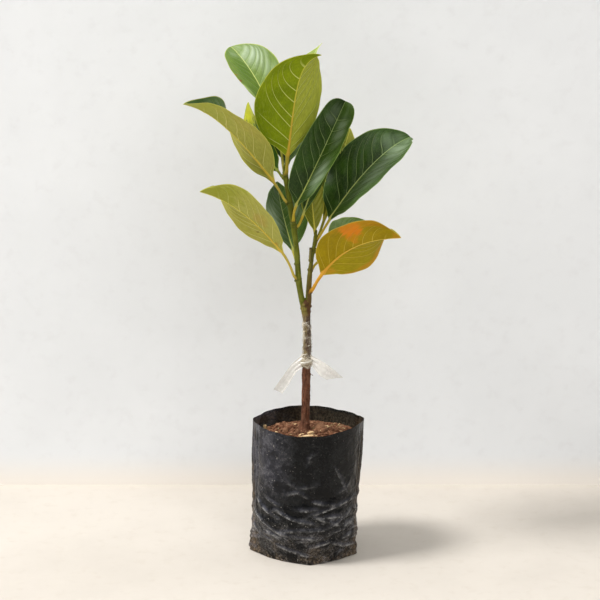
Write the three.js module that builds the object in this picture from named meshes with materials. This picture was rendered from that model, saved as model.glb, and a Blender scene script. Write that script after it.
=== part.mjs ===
// Potted cashew tree: a grafted sapling in a black nursery bag full of soil.
// Millimetres, +Z up. The origin is the middle of the bag's flat underside, and the
// plant's open side, with the orange leaf, faces -Y.

import * as THREE from 'three';

// Bag: a lay-flat nursery bag with a squared bottom fold, a little wider at the rim.
const BAG_HEIGHT = 161;
const BAG_WALL = 1.2;
const BAG_RIM_RADIUS = 65.5;
const BAG_BASE_RADIUS = 62;
const BAG_LEAN = 6.4; // how far the rim's middle stands to the right of the base's middle
const BASE_CORNERS = [ // the four corners of the folded bottom
  { bearing: -82, radius: 57 },
  { bearing: -14, radius: 67 },
  { bearing: 88, radius: 60 },
  { bearing: 182, radius: 64.5 },
];
const BASE_ROUNDING = 0.4; // 0 keeps the bottom's edges straight, 1 makes them an arc
const SQUARE_BELOW = 52; // the corners fade out up to this height
const FOLD_DEPTH = 1.1; // the big horizontal folds of the lower half
const FOLD_SPACING = 17;
const RIM_WAVE = 2; // the rim's rise and fall
const BAG_SIDES = 48;
const BAG_RINGS = 11;

// Soil
const SOIL_EDGE_HEIGHT = 145;
const SOIL_CROWN_HEIGHT = 151; // where the trunk comes out
const SOIL_LUMP = 1.2;
const SOIL_PATCH_RADIUS = 13; // level patch under the trunk
const TRUNK_X = 1.7; // the trunk's foot, from the middle of the base

const GAP = 0.3; // clear space between neighbouring solids
const SOIL_GAP = 0.4; // the same between the soil and the bag, whose facets slant

// Limbs, as stations from the foot up: centre x (and y where it isn't 0), height z,
// radius across, radius deep.
const TRUNK = [
  { x: TRUNK_X, z: SOIL_CROWN_HEIGHT + GAP, across: 7.9, deep: 7.2 },
  { x: 2, z: 154, across: 6.4, deep: 6 },
  { x: 2.3, z: 159, across: 5.4, deep: 5.3 },
  { x: 3.2, z: 182, across: 5, deep: 5 },
  { x: 3.6, z: 205, across: 4.9, deep: 4.9 },
  { x: 3.8, z: 224, across: 4.8, deep: 4.8 },
  { x: 4.4, z: 240, across: 4.4, deep: 4.4 },
  { x: 5, z: 255, across: 4.7, deep: 4.6 },
  { x: 4.6, z: 272, across: 4.4, deep: 4.4 },
  { x: 4.1, z: 287, across: 4.5, deep: 4.5 },
  { x: 3.5, z: 296, across: 5.2, deep: 5 },
  { x: 3, z: 302, across: 6, deep: 4.7 },
  { x: 2.8, z: 307, across: 7, deep: 4.3 },
];
const FORK_HEIGHT = 307 + GAP;
const MAIN_SHOOT = [
  { x: -0.9, z: FORK_HEIGHT, across: 3.5, deep: 3.6 },
  { x: -2.8, z: 316, across: 3.5, deep: 3.5 },
  { x: -5.1, z: 332, across: 3.8, deep: 3.7 },
  { x: -6, z: 345, across: 3.4, deep: 3.4 },
  { x: -7, z: 362, across: 3.4, deep: 3.4 },
  { x: -9.2, z: 382, across: 3.3, deep: 3.3 },
  { x: -11.8, z: 403, across: 3.6, deep: 3.5 },
  { x: -15.4, z: 425, across: 3.6, deep: 3.5 },
  { x: -18.2, z: 442, across: 3.1, deep: 3.1 },
  { x: -19.8, z: 453, across: 3.3, deep: 3.3 },
  { x: -20.6, z: 461, across: 2.6, deep: 2.6 },
  { x: -21, z: 468, across: 0.9, deep: 0.9 },
];
const SIDE_SHOOT = [
  { x: 6.4, z: FORK_HEIGHT, across: 3.3, deep: 3.4 },
  { x: 6.5, z: 316, across: 3.4, deep: 3.3 },
  { x: 7.3, z: 332, across: 3, deep: 3 },
  { x: 8.6, z: 347, across: 2.7, deep: 2.7 },
  { x: 10.8, z: 362, across: 2.2, deep: 2.2 },
  { x: 13.4, z: 377, across: 2.3, deep: 2.3 },
  { x: 14.5, z: 387, across: 2, deep: 2 },
  { x: 14.8, z: 392, across: 0.9, deep: 0.9 },
];
const CUT_STUB = [ // the pruned tip left beside the side shoot
  { x: 7.6, y: -3, z: 355, across: 0.9, deep: 0.9 },
  { x: 7.8, y: -3.2, z: 358, across: 1.3, deep: 1.2 },
  { x: 8.7, y: -2.6, z: 372, across: 1.5, deep: 1.4 },
];
const LIMB_SIDES = 12;

// Film wound round the graft, with the knot low down and its two loose ends.
const FILM_BOTTOM = 228;
const FILM_TOP = 289;
const FILM_THICK = 0.6;
const FILM_KNOT = { z: 235, swell: 1.5, spread: 5 };
const FILM_BANDS = [ // where the film is wound over itself
  { z: 249, swell: 0.5, spread: 2.5 },
  { z: 262, swell: 0.4, spread: 2.5 },
  { z: 278, swell: 0.5, spread: 3 },
];
const FILM_RINGS = 18;
const TAIL_THICK = 0.6;
const FILM_TAILS = { // middle line of each loose end, with its width across
  film_end_left: [
    { x: -4.4, y: -4, z: 236, width: 9 },
    { x: -13, y: -6, z: 230.5, width: 12 },
    { x: -22, y: -6, z: 219, width: 12 },
    { x: -30, y: -5, z: 203, width: 13 },
  ],
  film_end_right: [
    { x: 12.5, y: -3, z: 237, width: 8 },
    { x: 21, y: -6, z: 232, width: 11 },
    { x: 30, y: -7, z: 225, width: 14 },
    { x: 37, y: -5, z: 217, width: 15 },
  ],
};

// Leaves. Bearings turn from 0 at the right, through 90 away from the viewer; rises are
// angles above level. A stalk leaves the shoot at its start bearing and rise, and ends on
// the blade's. bend and tipBend turn the blade up or down along its length, sway and
// tipSway turn it sideways, roll and twist turn its face, and fold lifts both halves.
const STALK_FOOT_RADIUS = 1.1;
const STALK_RADIUS = 1.7;
const STALK_NECK_RADIUS = 1.4;
const LEAF_THICK = 1.6;
const MIDRIB_DEPTH = 1.2;
const MOST_FOLD = 60;
const STALK_RINGS = 4;
const STALK_STEPS = 16;
const BLADE_STEPS = 48;
const BLADE_STATIONS = [0, 2, 5, 9, 14, 19, 25, 31, 36, 40, 44, 47, 48]; // the steps that get a ring
const BLADE_OPENS = { from: -0.05, to: 0.12 }; // where the round stalk widens into the blade
const TIP_STARTS = 0.78; // where the pointed tip begins, as a share of the blade
const TIP_HALF_WIDTH = 0.5;
const LEAF_DEFAULTS = {
  bend: -10, tipBend: 0, sway: 0, tipSway: 0, roll: 0, twist: 0, fold: 10, tipFold: 0,
  widestAt: 1.15, fullness: 0.7, pointed: 0.3,
};
const LEAVES = {
  leaf_highest: {
    shoot: MAIN_SHOOT, z: 455, startBearing: 90, startRise: 82, stalk: 44,
    bearing: 26, rise: 84, length: 118, width: 42, bend: -30, tipBend: -10, fold: 15, pointed: 0.5,
  },
  leaf_top_left: {
    shoot: MAIN_SHOOT, z: 461, startBearing: 125, startRise: 84, stalk: 70,
    bearing: 143, rise: 63, length: 99, width: 68, bend: -34, tipBend: -8, roll: -14, twist: -12,
    fold: 23, pointed: 0.1,
  },
  leaf_top_front: {
    shoot: MAIN_SHOOT, z: 459, startBearing: -71, startRise: 83, stalk: 23,
    bearing: -65, rise: 76, length: 139, width: 95, bend: -7, tipBend: -58, tipSway: -44, roll: 1,
    twist: 18, fold: 15, tipFold: 6, widestAt: 0.95, fullness: 0.68, pointed: 0.42,
  },
  leaf_top_hidden: {
    shoot: MAIN_SHOOT, z: 455, startBearing: 172, startRise: 58, stalk: 9,
    bearing: 160, rise: 48, length: 88, width: 36, bend: -21, sway: 27, roll: -75, twist: -59, fold: 12,
    widestAt: 0.95, fullness: 0.5, pointed: 0.45,
  },
  leaf_top_back: {
    shoot: MAIN_SHOOT, z: 445, startBearing: 90, startRise: 66, stalk: 24,
    bearing: 90, rise: 60, length: 98, width: 54, bend: -25, tipBend: -5,
  },
  leaf_upper_left: {
    shoot: MAIN_SHOOT, z: 425, startBearing: -165, startRise: 65, stalk: 30,
    bearing: -156, rise: 53, length: 148, width: 72, bend: -15, tipBend: -35, sway: 5, tipSway: 5,
    roll: 60, twist: -105, fold: 15, tipFold: 70, widestAt: 1.2, fullness: 0.65, pointed: 0.25,
  },
  leaf_centre: {
    shoot: MAIN_SHOOT, z: 403, startBearing: -84, startRise: 90, stalk: 21,
    bearing: 7, rise: 63, length: 132, width: 55, bend: -3, tipBend: -8, sway: -6, tipSway: 2, roll: 50,
    twist: 25, fold: 35, widestAt: 1.04, fullness: 0.34, pointed: -0.25,
  },
  leaf_middle_back: {
    shoot: MAIN_SHOOT, z: 396, startBearing: 5, startRise: 62, stalk: 16,
    bearing: 6, rise: 72, length: 92, width: 26, roll: 50, twist: 5, fold: 12, fullness: 0.74,
  },
  leaf_low_back: {
    shoot: MAIN_SHOOT, z: 352, startBearing: 105, startRise: 40, stalk: 18,
    bearing: 119, rise: 55, length: 86, width: 62, bend: 10, tipBend: 5, tipSway: 5, roll: 5,
    twist: 10, fold: 15, widestAt: 1.1,
  },
  leaf_lower_left: {
    shoot: MAIN_SHOOT, z: 334, startBearing: -155, startRise: 75, stalk: 38,
    bearing: -158, rise: 53, length: 128, width: 80, bend: -25, tipBend: -10, sway: 10, tipSway: 15,
    roll: 30, twist: -20, fold: -5, tipFold: 75, pointed: 0.45,
  },
  leaf_right_large: {
    shoot: SIDE_SHOOT, z: 382, startBearing: 5, startRise: 60, stalk: 27,
    bearing: 14, rise: 57, length: 140, width: 82, bend: -30, tipBend: -20, tipSway: 5, roll: 25,
    twist: 10, fold: 20, widestAt: 1.05, fullness: 0.5, pointed: 0.1,
  },
  leaf_young_short: {
    shoot: SIDE_SHOOT, z: 381, startBearing: 85, startRise: 35, stalk: 9,
    bearing: 112, rise: 76, length: 76, width: 31, bend: -5,
  },
  leaf_young_tall: {
    shoot: SIDE_SHOOT, z: 376, startBearing: 70, startRise: 35, stalk: 33,
    bearing: 48, rise: 66, length: 114, width: 44, roll: 40,
  },
  leaf_right_behind: {
    shoot: SIDE_SHOOT, z: 368, startBearing: 20, startRise: 50, stalk: 22,
    bearing: 45, rise: 10, length: 80, width: 56, roll: 10,
  },
  leaf_right_back: {
    shoot: SIDE_SHOOT, z: 345, startBearing: 60, startRise: 35, stalk: 16,
    bearing: 48, rise: 16, length: 88, width: 50, bend: -20,
  },
  leaf_orange: {
    shoot: SIDE_SHOOT, z: 320, startBearing: -40, startRise: 62, stalk: 27,
    bearing: -18, rise: 54, length: 111, width: 90, bend: -42, tipBend: 5, sway: -39, roll: -65,
    twist: 51, fold: -4, tipFold: 70, widestAt: 1.05, fullness: 0.71, pointed: 0.45,
  },
};

// Materials
const bagFilm = new THREE.MeshStandardMaterial({ color: 0x17191b, roughness: 0.35, metalness: 0 });
const soilMix = new THREE.MeshStandardMaterial({ color: 0x6b4630, roughness: 1, metalness: 0 });
const bark = new THREE.MeshStandardMaterial({ color: 0x6e4637, roughness: 0.85, metalness: 0 });
const greenBark = new THREE.MeshStandardMaterial({ color: 0x5a6e1e, roughness: 0.7, metalness: 0 });
const clearFilm = new THREE.MeshStandardMaterial({ color: 0xb9b4a8, roughness: 0.3, metalness: 0 });
const matureLeaf = new THREE.MeshStandardMaterial({ color: 0x2f5a2c, roughness: 0.4, metalness: 0 });
const youngLeaf = new THREE.MeshStandardMaterial({ color: 0x8f9320, roughness: 0.5, metalness: 0 });
const YOUNG = ['leaf_highest', 'leaf_young_short', 'leaf_young_tall', 'leaf_orange'];

// Helpers

const radians = THREE.MathUtils.degToRad;

function polar(bearing, radius, z) {
  const angle = radians(bearing);
  return new THREE.Vector3(Math.cos(angle) * radius, Math.sin(angle) * radius, z);
}

function heading(bearing, rise) {
  const direction = polar(bearing, Math.cos(radians(rise)), 0);
  direction.z = Math.sin(radians(rise));
  return direction;
}

// A closed solid through rings of points, all with the same number of points. It is capped
// at both ends, or runs back into its first ring when looped is true.
function loft(rings, looped = false) {
  const sides = rings[0].length;
  const points = rings.flat();
  const faces = [];
  const steps = looped ? rings.length : rings.length - 1;
  for (let row = 0; row < steps; row++) {
    const low = row * sides;
    const high = ((row + 1) % rings.length) * sides;
    for (let side = 0; side < sides; side++) {
      const next = (side + 1) % sides;
      faces.push(low + side, low + next, high + next);
      faces.push(low + side, high + next, high + side);
    }
  }
  if (!looped) {
    for (const [ring, first, turned] of [
      [rings[0], 0, true],
      [rings.at(-1), (rings.length - 1) * sides, false],
    ]) {
      const middle = points.length;
      const sum = ring.reduce((total, point) => total.add(point), new THREE.Vector3());
      points.push(sum.divideScalar(sides));
      for (let side = 0; side < sides; side++) {
        const here = first + side;
        const next = first + (side + 1) % sides;
        faces.push(middle, turned ? next : here, turned ? here : next);
      }
    }
  }
  if (signedVolume(points, faces) < 0) {
    for (let i = 0; i < faces.length; i += 3) {
      [faces[i + 1], faces[i + 2]] = [faces[i + 2], faces[i + 1]];
    }
  }
  const geometry = new THREE.BufferGeometry().setFromPoints(points).setIndex(faces);
  geometry.computeVertexNormals();
  return geometry;
}

function signedVolume(points, faces) {
  const cross = new THREE.Vector3();
  let volume = 0;
  for (let i = 0; i < faces.length; i += 3) {
    cross.crossVectors(points[faces[i + 1]], points[faces[i + 2]]);
    volume += points[faces[i]].dot(cross) / 6;
  }
  return volume;
}

// The value of one key at a height, along stations sorted by z.
function alongLimb(stations, z, key) {
  const above = stations.findIndex((station) => station.z >= z);
  if (above < 0) return stations.at(-1)[key];
  if (above === 0) return stations[0][key];
  const a = stations[above - 1];
  const b = stations[above];
  return THREE.MathUtils.mapLinear(z, a.z, b.z, a[key], b[key]);
}

function limbRing(station, sides, extra = 0) {
  const ring = [];
  for (let side = 0; side < sides; side++) {
    const angle = (2 * Math.PI * side) / sides;
    ring.push(new THREE.Vector3(
      station.x + Math.cos(angle) * (station.across + extra),
      (station.y ?? 0) + Math.sin(angle) * (station.deep + extra),
      station.z,
    ));
  }
  return ring;
}

function limb(stations) {
  return loft(stations.map((station) => limbRing(station, LIMB_SIDES)));
}

// Bag

// How far the folded bottom reaches at a bearing: nearly straight from corner to corner.
function baseReach(bearing) {
  const count = BASE_CORNERS.length;
  for (let i = 0; i < count; i++) {
    const a = BASE_CORNERS[i];
    const b = BASE_CORNERS[(i + 1) % count];
    const span = (b.bearing - a.bearing + 360) % 360;
    const past = (bearing - a.bearing + 720) % 360;
    if (past > span) continue;
    const left = radians(past);
    const right = radians(span - past);
    const across = a.radius * Math.sin(left) + b.radius * Math.sin(right);
    const straight = (a.radius * b.radius * Math.sin(radians(span))) / (
      b.radius * Math.sin(right) + a.radius * Math.sin(left)
    );
    const arc = THREE.MathUtils.lerp(a.radius, b.radius, past / span);
    return across > 0 ? THREE.MathUtils.lerp(straight, arc, BASE_ROUNDING) : arc;
  }
  return BAG_BASE_RADIUS;
}

function bagPoint(bearing, z, inset) {
  const height = THREE.MathUtils.clamp(z / BAG_HEIGHT, 0, 1);
  const round = THREE.MathUtils.lerp(BAG_BASE_RADIUS, BAG_RIM_RADIUS, height);
  const squareness = 1 - THREE.MathUtils.smoothstep(z, 0, SQUARE_BELOW);
  const folds = FOLD_DEPTH
    * Math.sin((2 * Math.PI * z) / FOLD_SPACING + 2 * Math.sin(radians(bearing * 2)))
    * THREE.MathUtils.smoothstep(z, 2, 14)
    * (1 - THREE.MathUtils.smoothstep(z, 60, 110));
  const radius = THREE.MathUtils.lerp(round, baseReach(bearing), squareness) + folds - inset;
  const point = polar(bearing, radius, z);
  point.x += BAG_LEAN * height;
  return point;
}

function rimRise(bearing) {
  return RIM_WAVE * (0.6 * Math.sin(radians(3 * bearing + 40)) + 0.4 * Math.sin(radians(7 * bearing)));
}

function bagRing(z, inset, wave = 0) {
  const ring = [];
  for (let side = 0; side < BAG_SIDES; side++) {
    const bearing = (360 * side) / BAG_SIDES;
    const point = bagPoint(bearing, z, inset);
    point.z += wave * rimRise(bearing);
    ring.push(point);
  }
  return ring;
}

function bagShell() {
  const rings = [];
  for (let i = 0; i <= BAG_RINGS; i++) {
    const height = i / BAG_RINGS;
    rings.push(bagRing(BAG_HEIGHT * height, 0, height ** 4));
  }
  for (let i = BAG_RINGS; i >= 0; i--) {
    rings.push(bagRing(insideHeight(i), BAG_WALL, (i / BAG_RINGS) ** 4));
  }
  return loft(rings);
}

// The height of one ring of the bag's inner face, which the soil's rings share.
function insideHeight(ring) {
  return THREE.MathUtils.lerp(BAG_WALL, BAG_HEIGHT, ring / BAG_RINGS);
}

// Soil

function soilBody() {
  const inset = BAG_WALL + SOIL_GAP;
  const rings = [bagRing(BAG_WALL + GAP, inset + GAP)];
  for (let i = 1; insideHeight(i) < SOIL_EDGE_HEIGHT; i++) {
    rings.push(bagRing(insideHeight(i), inset));
  }
  const edge = bagRing(SOIL_EDGE_HEIGHT, inset);
  const patch = edge.map((_, side) => {
    const point = polar((360 * side) / BAG_SIDES, SOIL_PATCH_RADIUS, SOIL_CROWN_HEIGHT);
    point.x += TRUNK_X;
    return point;
  });
  rings.push(edge);
  for (const inward of [0.25, 0.5, 0.75]) {
    rings.push(edge.map((point, side) => {
      const bearing = (360 * side) / BAG_SIDES;
      const mixed = point.clone().lerp(patch[side], inward);
      const lump = Math.sin(radians(3 * bearing + 300 * inward)) * Math.sin(radians(5 * bearing));
      mixed.z += SOIL_LUMP * lump;
      return mixed;
    }));
  }
  rings.push(patch);
  return loft(rings.reverse()); // downwards like the bag's inner face, so their facets match
}

// Film round the graft

function filmSwell(z) {
  return [FILM_KNOT, ...FILM_BANDS].reduce(
    (total, band) => total + band.swell * Math.exp(-(((z - band.z) / band.spread) ** 2)),
    0,
  );
}

function filmSleeve() {
  const outer = [];
  const inner = [];
  for (let i = 0; i <= FILM_RINGS; i++) {
    const z = THREE.MathUtils.lerp(FILM_BOTTOM, FILM_TOP, i / FILM_RINGS);
    const station = { z };
    for (const key of ['x', 'across', 'deep']) station[key] = alongLimb(TRUNK, z, key);
    inner.unshift(limbRing(station, LIMB_SIDES, GAP));
    outer.push(limbRing(station, LIMB_SIDES, GAP + FILM_THICK + filmSwell(z)));
  }
  return loft([...outer, ...inner], true);
}

function filmTail(stations) {
  const curve = new THREE.CatmullRomCurve3(stations.map(({ x, y, z }) => new THREE.Vector3(x, y, z)));
  const steps = 8;
  const rings = [];
  for (let i = 0; i <= steps; i++) {
    const along = i / steps;
    const middle = curve.getPoint(along);
    const forward = curve.getTangent(along);
    const face = new THREE.Vector3(0, -1, 0);
    const across = new THREE.Vector3().crossVectors(face, forward).normalize();
    const outward = new THREE.Vector3().crossVectors(forward, across).normalize();
    const place = along * (stations.length - 1);
    const before = Math.min(Math.floor(place), stations.length - 2);
    const width = THREE.MathUtils.lerp(
      stations[before].width, stations[before + 1].width, place - before,
    );
    const corners = [[1, 1], [-1, 1], [-1, -1], [1, -1]];
    rings.push(corners.map(([side, front]) => middle.clone()
      .addScaledVector(across, (side * width) / 2)
      .addScaledVector(outward, (front * TAIL_THICK) / 2)));
  }
  return loft(rings);
}

// Leaves

function halfWidth(along, leaf) {
  if (along <= 0 || along >= 1) return 0;
  const body = Math.sin(Math.PI * along ** leaf.widestAt) ** leaf.fullness;
  const taper = 1 - leaf.pointed * THREE.MathUtils.smoothstep(along, TIP_STARTS, 1);
  return (leaf.width / 2) * body * taper;
}

// One turned frame per ring of the stalk and the blade: place, forward, upper side, right.
function leafFrames(leaf) {
  const foot = polar(
    leaf.startBearing,
    alongLimb(leaf.shoot, leaf.z, 'across') + GAP + STALK_FOOT_RADIUS,
    leaf.z,
  );
  foot.x += alongLimb(leaf.shoot, leaf.z, 'x');
  const place = foot.clone();
  const stalk = [];
  for (let i = 0; i <= STALK_STEPS; i++) {
    const along = i / STALK_STEPS;
    const bearing = THREE.MathUtils.lerp(leaf.startBearing, leaf.bearing, along);
    const rise = THREE.MathUtils.lerp(leaf.startRise, leaf.rise, along);
    const forward = heading(bearing, rise);
    if (i % (STALK_STEPS / STALK_RINGS) === 0) {
      const upper = heading(bearing, rise + 90).applyAxisAngle(forward, radians(leaf.roll * along));
      stalk.push({ along: -1 + along, place: place.clone(), forward: forward.clone(), upper });
    }
    if (i < STALK_STEPS) place.addScaledVector(forward, leaf.stalk / STALK_STEPS);
  }

  const last = stalk.pop();
  const forward = last.forward;
  const upper = last.upper;
  const right = new THREE.Vector3().crossVectors(forward, upper);
  const blade = [];
  const step = 1 / BLADE_STEPS;
  for (let i = 0; i <= BLADE_STEPS; i++) {
    if (BLADE_STATIONS.includes(i)) {
      blade.push({ along: i * step, place: place.clone(), forward: forward.clone(), upper: upper.clone() });
    }
    const along = (i + 0.5) * step;
    const pitch = radians(leaf.bend + leaf.tipBend * 5 * along ** 4) * step;
    const yaw = radians(leaf.sway + leaf.tipSway * 7 * along ** 6) * step;
    const turn = radians(leaf.twist) * step;
    place.addScaledVector(forward, leaf.length * step);
    forward.addScaledVector(upper, pitch).addScaledVector(right, yaw).normalize();
    upper.addScaledVector(right, turn);
    upper.addScaledVector(forward, -upper.dot(forward)).normalize();
    right.crossVectors(forward, upper);
  }
  return [...stalk, ...blade];
}

// A ring goes once round the section: across the upper side, and back under the midrib.
function leafRing(frame, leaf) {
  const right = new THREE.Vector3().crossVectors(frame.forward, frame.upper);
  const along = Math.max(frame.along, 0);
  const bladeShare = THREE.MathUtils.smoothstep(frame.along, BLADE_OPENS.from, BLADE_OPENS.to);
  const stalkRadius = frame.along < 0
    ? THREE.MathUtils.lerp(
      THREE.MathUtils.lerp(STALK_FOOT_RADIUS, STALK_RADIUS, Math.min(1, (frame.along + 1) * 4)),
      STALK_NECK_RADIUS, frame.along + 1)
    : STALK_NECK_RADIUS;
  const half = Math.max(halfWidth(along, leaf), STALK_NECK_RADIUS * (1 - along), TIP_HALF_WIDTH);
  const thick = Math.min(LEAF_THICK, half * 1.2);
  const rib = MIDRIB_DEPTH * (1 - along);
  const fold = radians(Math.min(leaf.fold + leaf.tipFold * along ** 3, MOST_FOLD));
  const section = [
    [-1, 0], [-0.55, 1], [0, 1], [0.55, 1], [1, 0],
    [0.55, -1], [0.12, -1], [0, -1], [-0.12, -1], [-0.55, -1],
  ];
  return section.map(([share, face], index) => {
    const side = Math.sign(share) || 1;
    const reach = Math.abs(share) * half;
    const lift = (face * thick) / 2 - (share === 0 && face < 0 ? rib : 0);
    const across = side * (reach * Math.cos(fold) - lift * Math.sin(fold) * Math.abs(share) ** 0.5);
    const height = reach * Math.sin(fold) + lift * Math.cos(fold * Math.abs(share) ** 0.5);
    const angle = Math.PI * (1 - (2 * index) / section.length);
    const round = [Math.cos(angle) * stalkRadius, Math.sin(angle) * stalkRadius];
    return frame.place.clone()
      .addScaledVector(right, THREE.MathUtils.lerp(round[0], across, bladeShare))
      .addScaledVector(frame.upper, THREE.MathUtils.lerp(round[1], height, bladeShare));
  });
}

function leafBody(spec) {
  const leaf = { ...LEAF_DEFAULTS, ...spec };
  return loft(leafFrames(leaf).map((frame) => leafRing(frame, leaf)));
}

// The plant and its bag, one named mesh for each piece

const tree = new THREE.Group();

function add(name, geometry, material) {
  const mesh = new THREE.Mesh(geometry, material);
  mesh.name = name;
  tree.add(mesh);
}

add('nursery_bag', bagShell(), bagFilm);
add('soil', soilBody(), soilMix);
add('trunk', limb(TRUNK), bark);
add('main_shoot', limb(MAIN_SHOOT), greenBark);
add('side_shoot', limb(SIDE_SHOOT), greenBark);
add('cut_stub', limb(CUT_STUB), bark);
add('graft_film', filmSleeve(), clearFilm);
for (const [name, stations] of Object.entries(FILM_TAILS)) {
  add(name, filmTail(stations), clearFilm);
}
for (const [name, spec] of Object.entries(LEAVES)) {
  add(name, leafBody(spec), YOUNG.includes(name) ? youngLeaf : matureLeaf);
}

export default tree;
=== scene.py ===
"""Potted cashew tree: a grafted sapling in a black nursery bag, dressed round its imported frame."""
import math
import random

import bmesh
import bpy
import numpy as np
from bpy.props import FloatProperty, IntProperty, PointerProperty
from bpy.types import Operator, Panel, PropertyGroup
from mathutils import Euler, Matrix, Vector, noise


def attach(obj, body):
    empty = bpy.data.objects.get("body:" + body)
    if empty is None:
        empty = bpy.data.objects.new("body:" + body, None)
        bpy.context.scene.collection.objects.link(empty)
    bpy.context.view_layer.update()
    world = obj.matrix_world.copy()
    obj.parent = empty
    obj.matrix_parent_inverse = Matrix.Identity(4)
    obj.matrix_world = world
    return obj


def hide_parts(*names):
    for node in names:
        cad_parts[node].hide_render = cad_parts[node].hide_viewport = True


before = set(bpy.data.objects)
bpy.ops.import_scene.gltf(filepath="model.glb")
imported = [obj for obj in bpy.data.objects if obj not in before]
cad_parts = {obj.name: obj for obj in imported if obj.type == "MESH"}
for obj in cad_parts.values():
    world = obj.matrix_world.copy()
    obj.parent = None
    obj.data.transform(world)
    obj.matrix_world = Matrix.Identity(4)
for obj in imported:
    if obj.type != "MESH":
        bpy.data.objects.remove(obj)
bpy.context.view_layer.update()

bl_info = {
    "name": "Potted Cashew Tree",
    "version": (1, 0, 0),
    "blender": (4, 5, 0),
    "location": "View3D > Sidebar > Cashew Tree",
    "description": "Builds the leaves, stems, graft film, nursery bag and soil of a potted cashew sapling",
    "category": "Add Mesh",
}

MM = 0.001  # the sizes below are in millimetres, and Blender's are in metres
MOST_CUTS = 100  # one subdivide call makes at most this many

# Sizes shared with the frame

BAG_HEIGHT = 161
BAG_RIM_RADIUS = 65.5
BAG_BASE_RADIUS = 62
BAG_LEAN = 6.4
BASE_CORNERS = [(-82, 57), (-14, 67), (88, 60), (182, 64.5)]  # bearing, radius
BASE_ROUNDING = 0.4
SQUARE_BELOW = 52
FOLD_DEPTH = 1.1
FOLD_SPACING = 17
SOIL_EDGE_HEIGHT = 145
SOIL_CROWN_HEIGHT = 151
TRUNK_X = 1.7

# Stations of the limbs: the middle's x and height, and the half widths across and deep.

LIMB_KEYS = ("x", "z", "across", "deep")
TRUNK = [
    (1.4, 147, 8.6, 7.8), (1.7, 151.3, 7.6, 7), (2, 154, 6.3, 6), (2.3, 159, 5.4, 5.3), (3.2, 182, 5, 5),
    (3.6, 205, 4.9, 4.9), (3.8, 224, 4.8, 4.8), (4.4, 240, 4.4, 4.4), (5, 255, 4.7, 4.6),
    (4.6, 272, 4.4, 4.4), (4.1, 287, 4.5, 4.5), (3.5, 294, 5.1, 4.9), (3, 300, 5.7, 4.9),
    (2.8, 304.5, 6, 4.6), (2.8, 307.5, 5.2, 3.8), (2.8, 309.5, 3, 2.2),
]
MAIN_SHOOT = [
    (1.6, 294, 2.9, 3), (0.6, 300, 3.5, 3.6), (-0.9, 307.3, 3.7, 3.8), (-2.8, 316, 3.5, 3.5),
    (-5.1, 332, 3.8, 3.7), (-6, 345, 3.4, 3.4), (-7, 362, 3.4, 3.4), (-9.2, 382, 3.3, 3.3),
    (-11.8, 403, 3.6, 3.5), (-15.4, 425, 3.6, 3.5), (-18.2, 442, 3.1, 3.1), (-19.8, 453, 3.3, 3.3),
    (-20.6, 461, 2.6, 2.6), (-21, 468, 0.9, 0.9),
]
SIDE_SHOOT = [
    (4.6, 294, 2.6, 3), (5.5, 300, 3.2, 3.5), (6.4, 307.3, 3.5, 3.6), (6.5, 316, 3.4, 3.3),
    (7.3, 332, 3, 3), (8.6, 347, 2.7, 2.7), (10.8, 362, 2.2, 2.2), (13.4, 377, 2.3, 2.3),
    (14.5, 387, 2, 2), (14.8, 392, 0.9, 0.9),
]
CUT_STUB = [(7.6, 355, 0.9, 0.9), (7.8, 358, 1.3, 1.2), (8.3, 365, 1.3, 1.2), (8.7, 372, 1.6, 1.5)]
STUB_Y = -3

FILM_BOTTOM = 228
FILM_TOP = 289.5
FILM_KNOT = (235, 1.6, 5.5)  # height, swell, spread
FILM_BANDS = [(249, 0.5, 2.5), (262, 0.4, 2.5), (278, 0.5, 3)]
FILM_PITCH = 9.5  # from one turn of the film to the next
FILM_LAP = 0.5  # how much each turn of the film swells towards its edge

# Leaves, by the same rules as the frame's. Bearings turn from 0 at the right, through 90 away
# from the viewer, and rises are angles above level.

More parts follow.
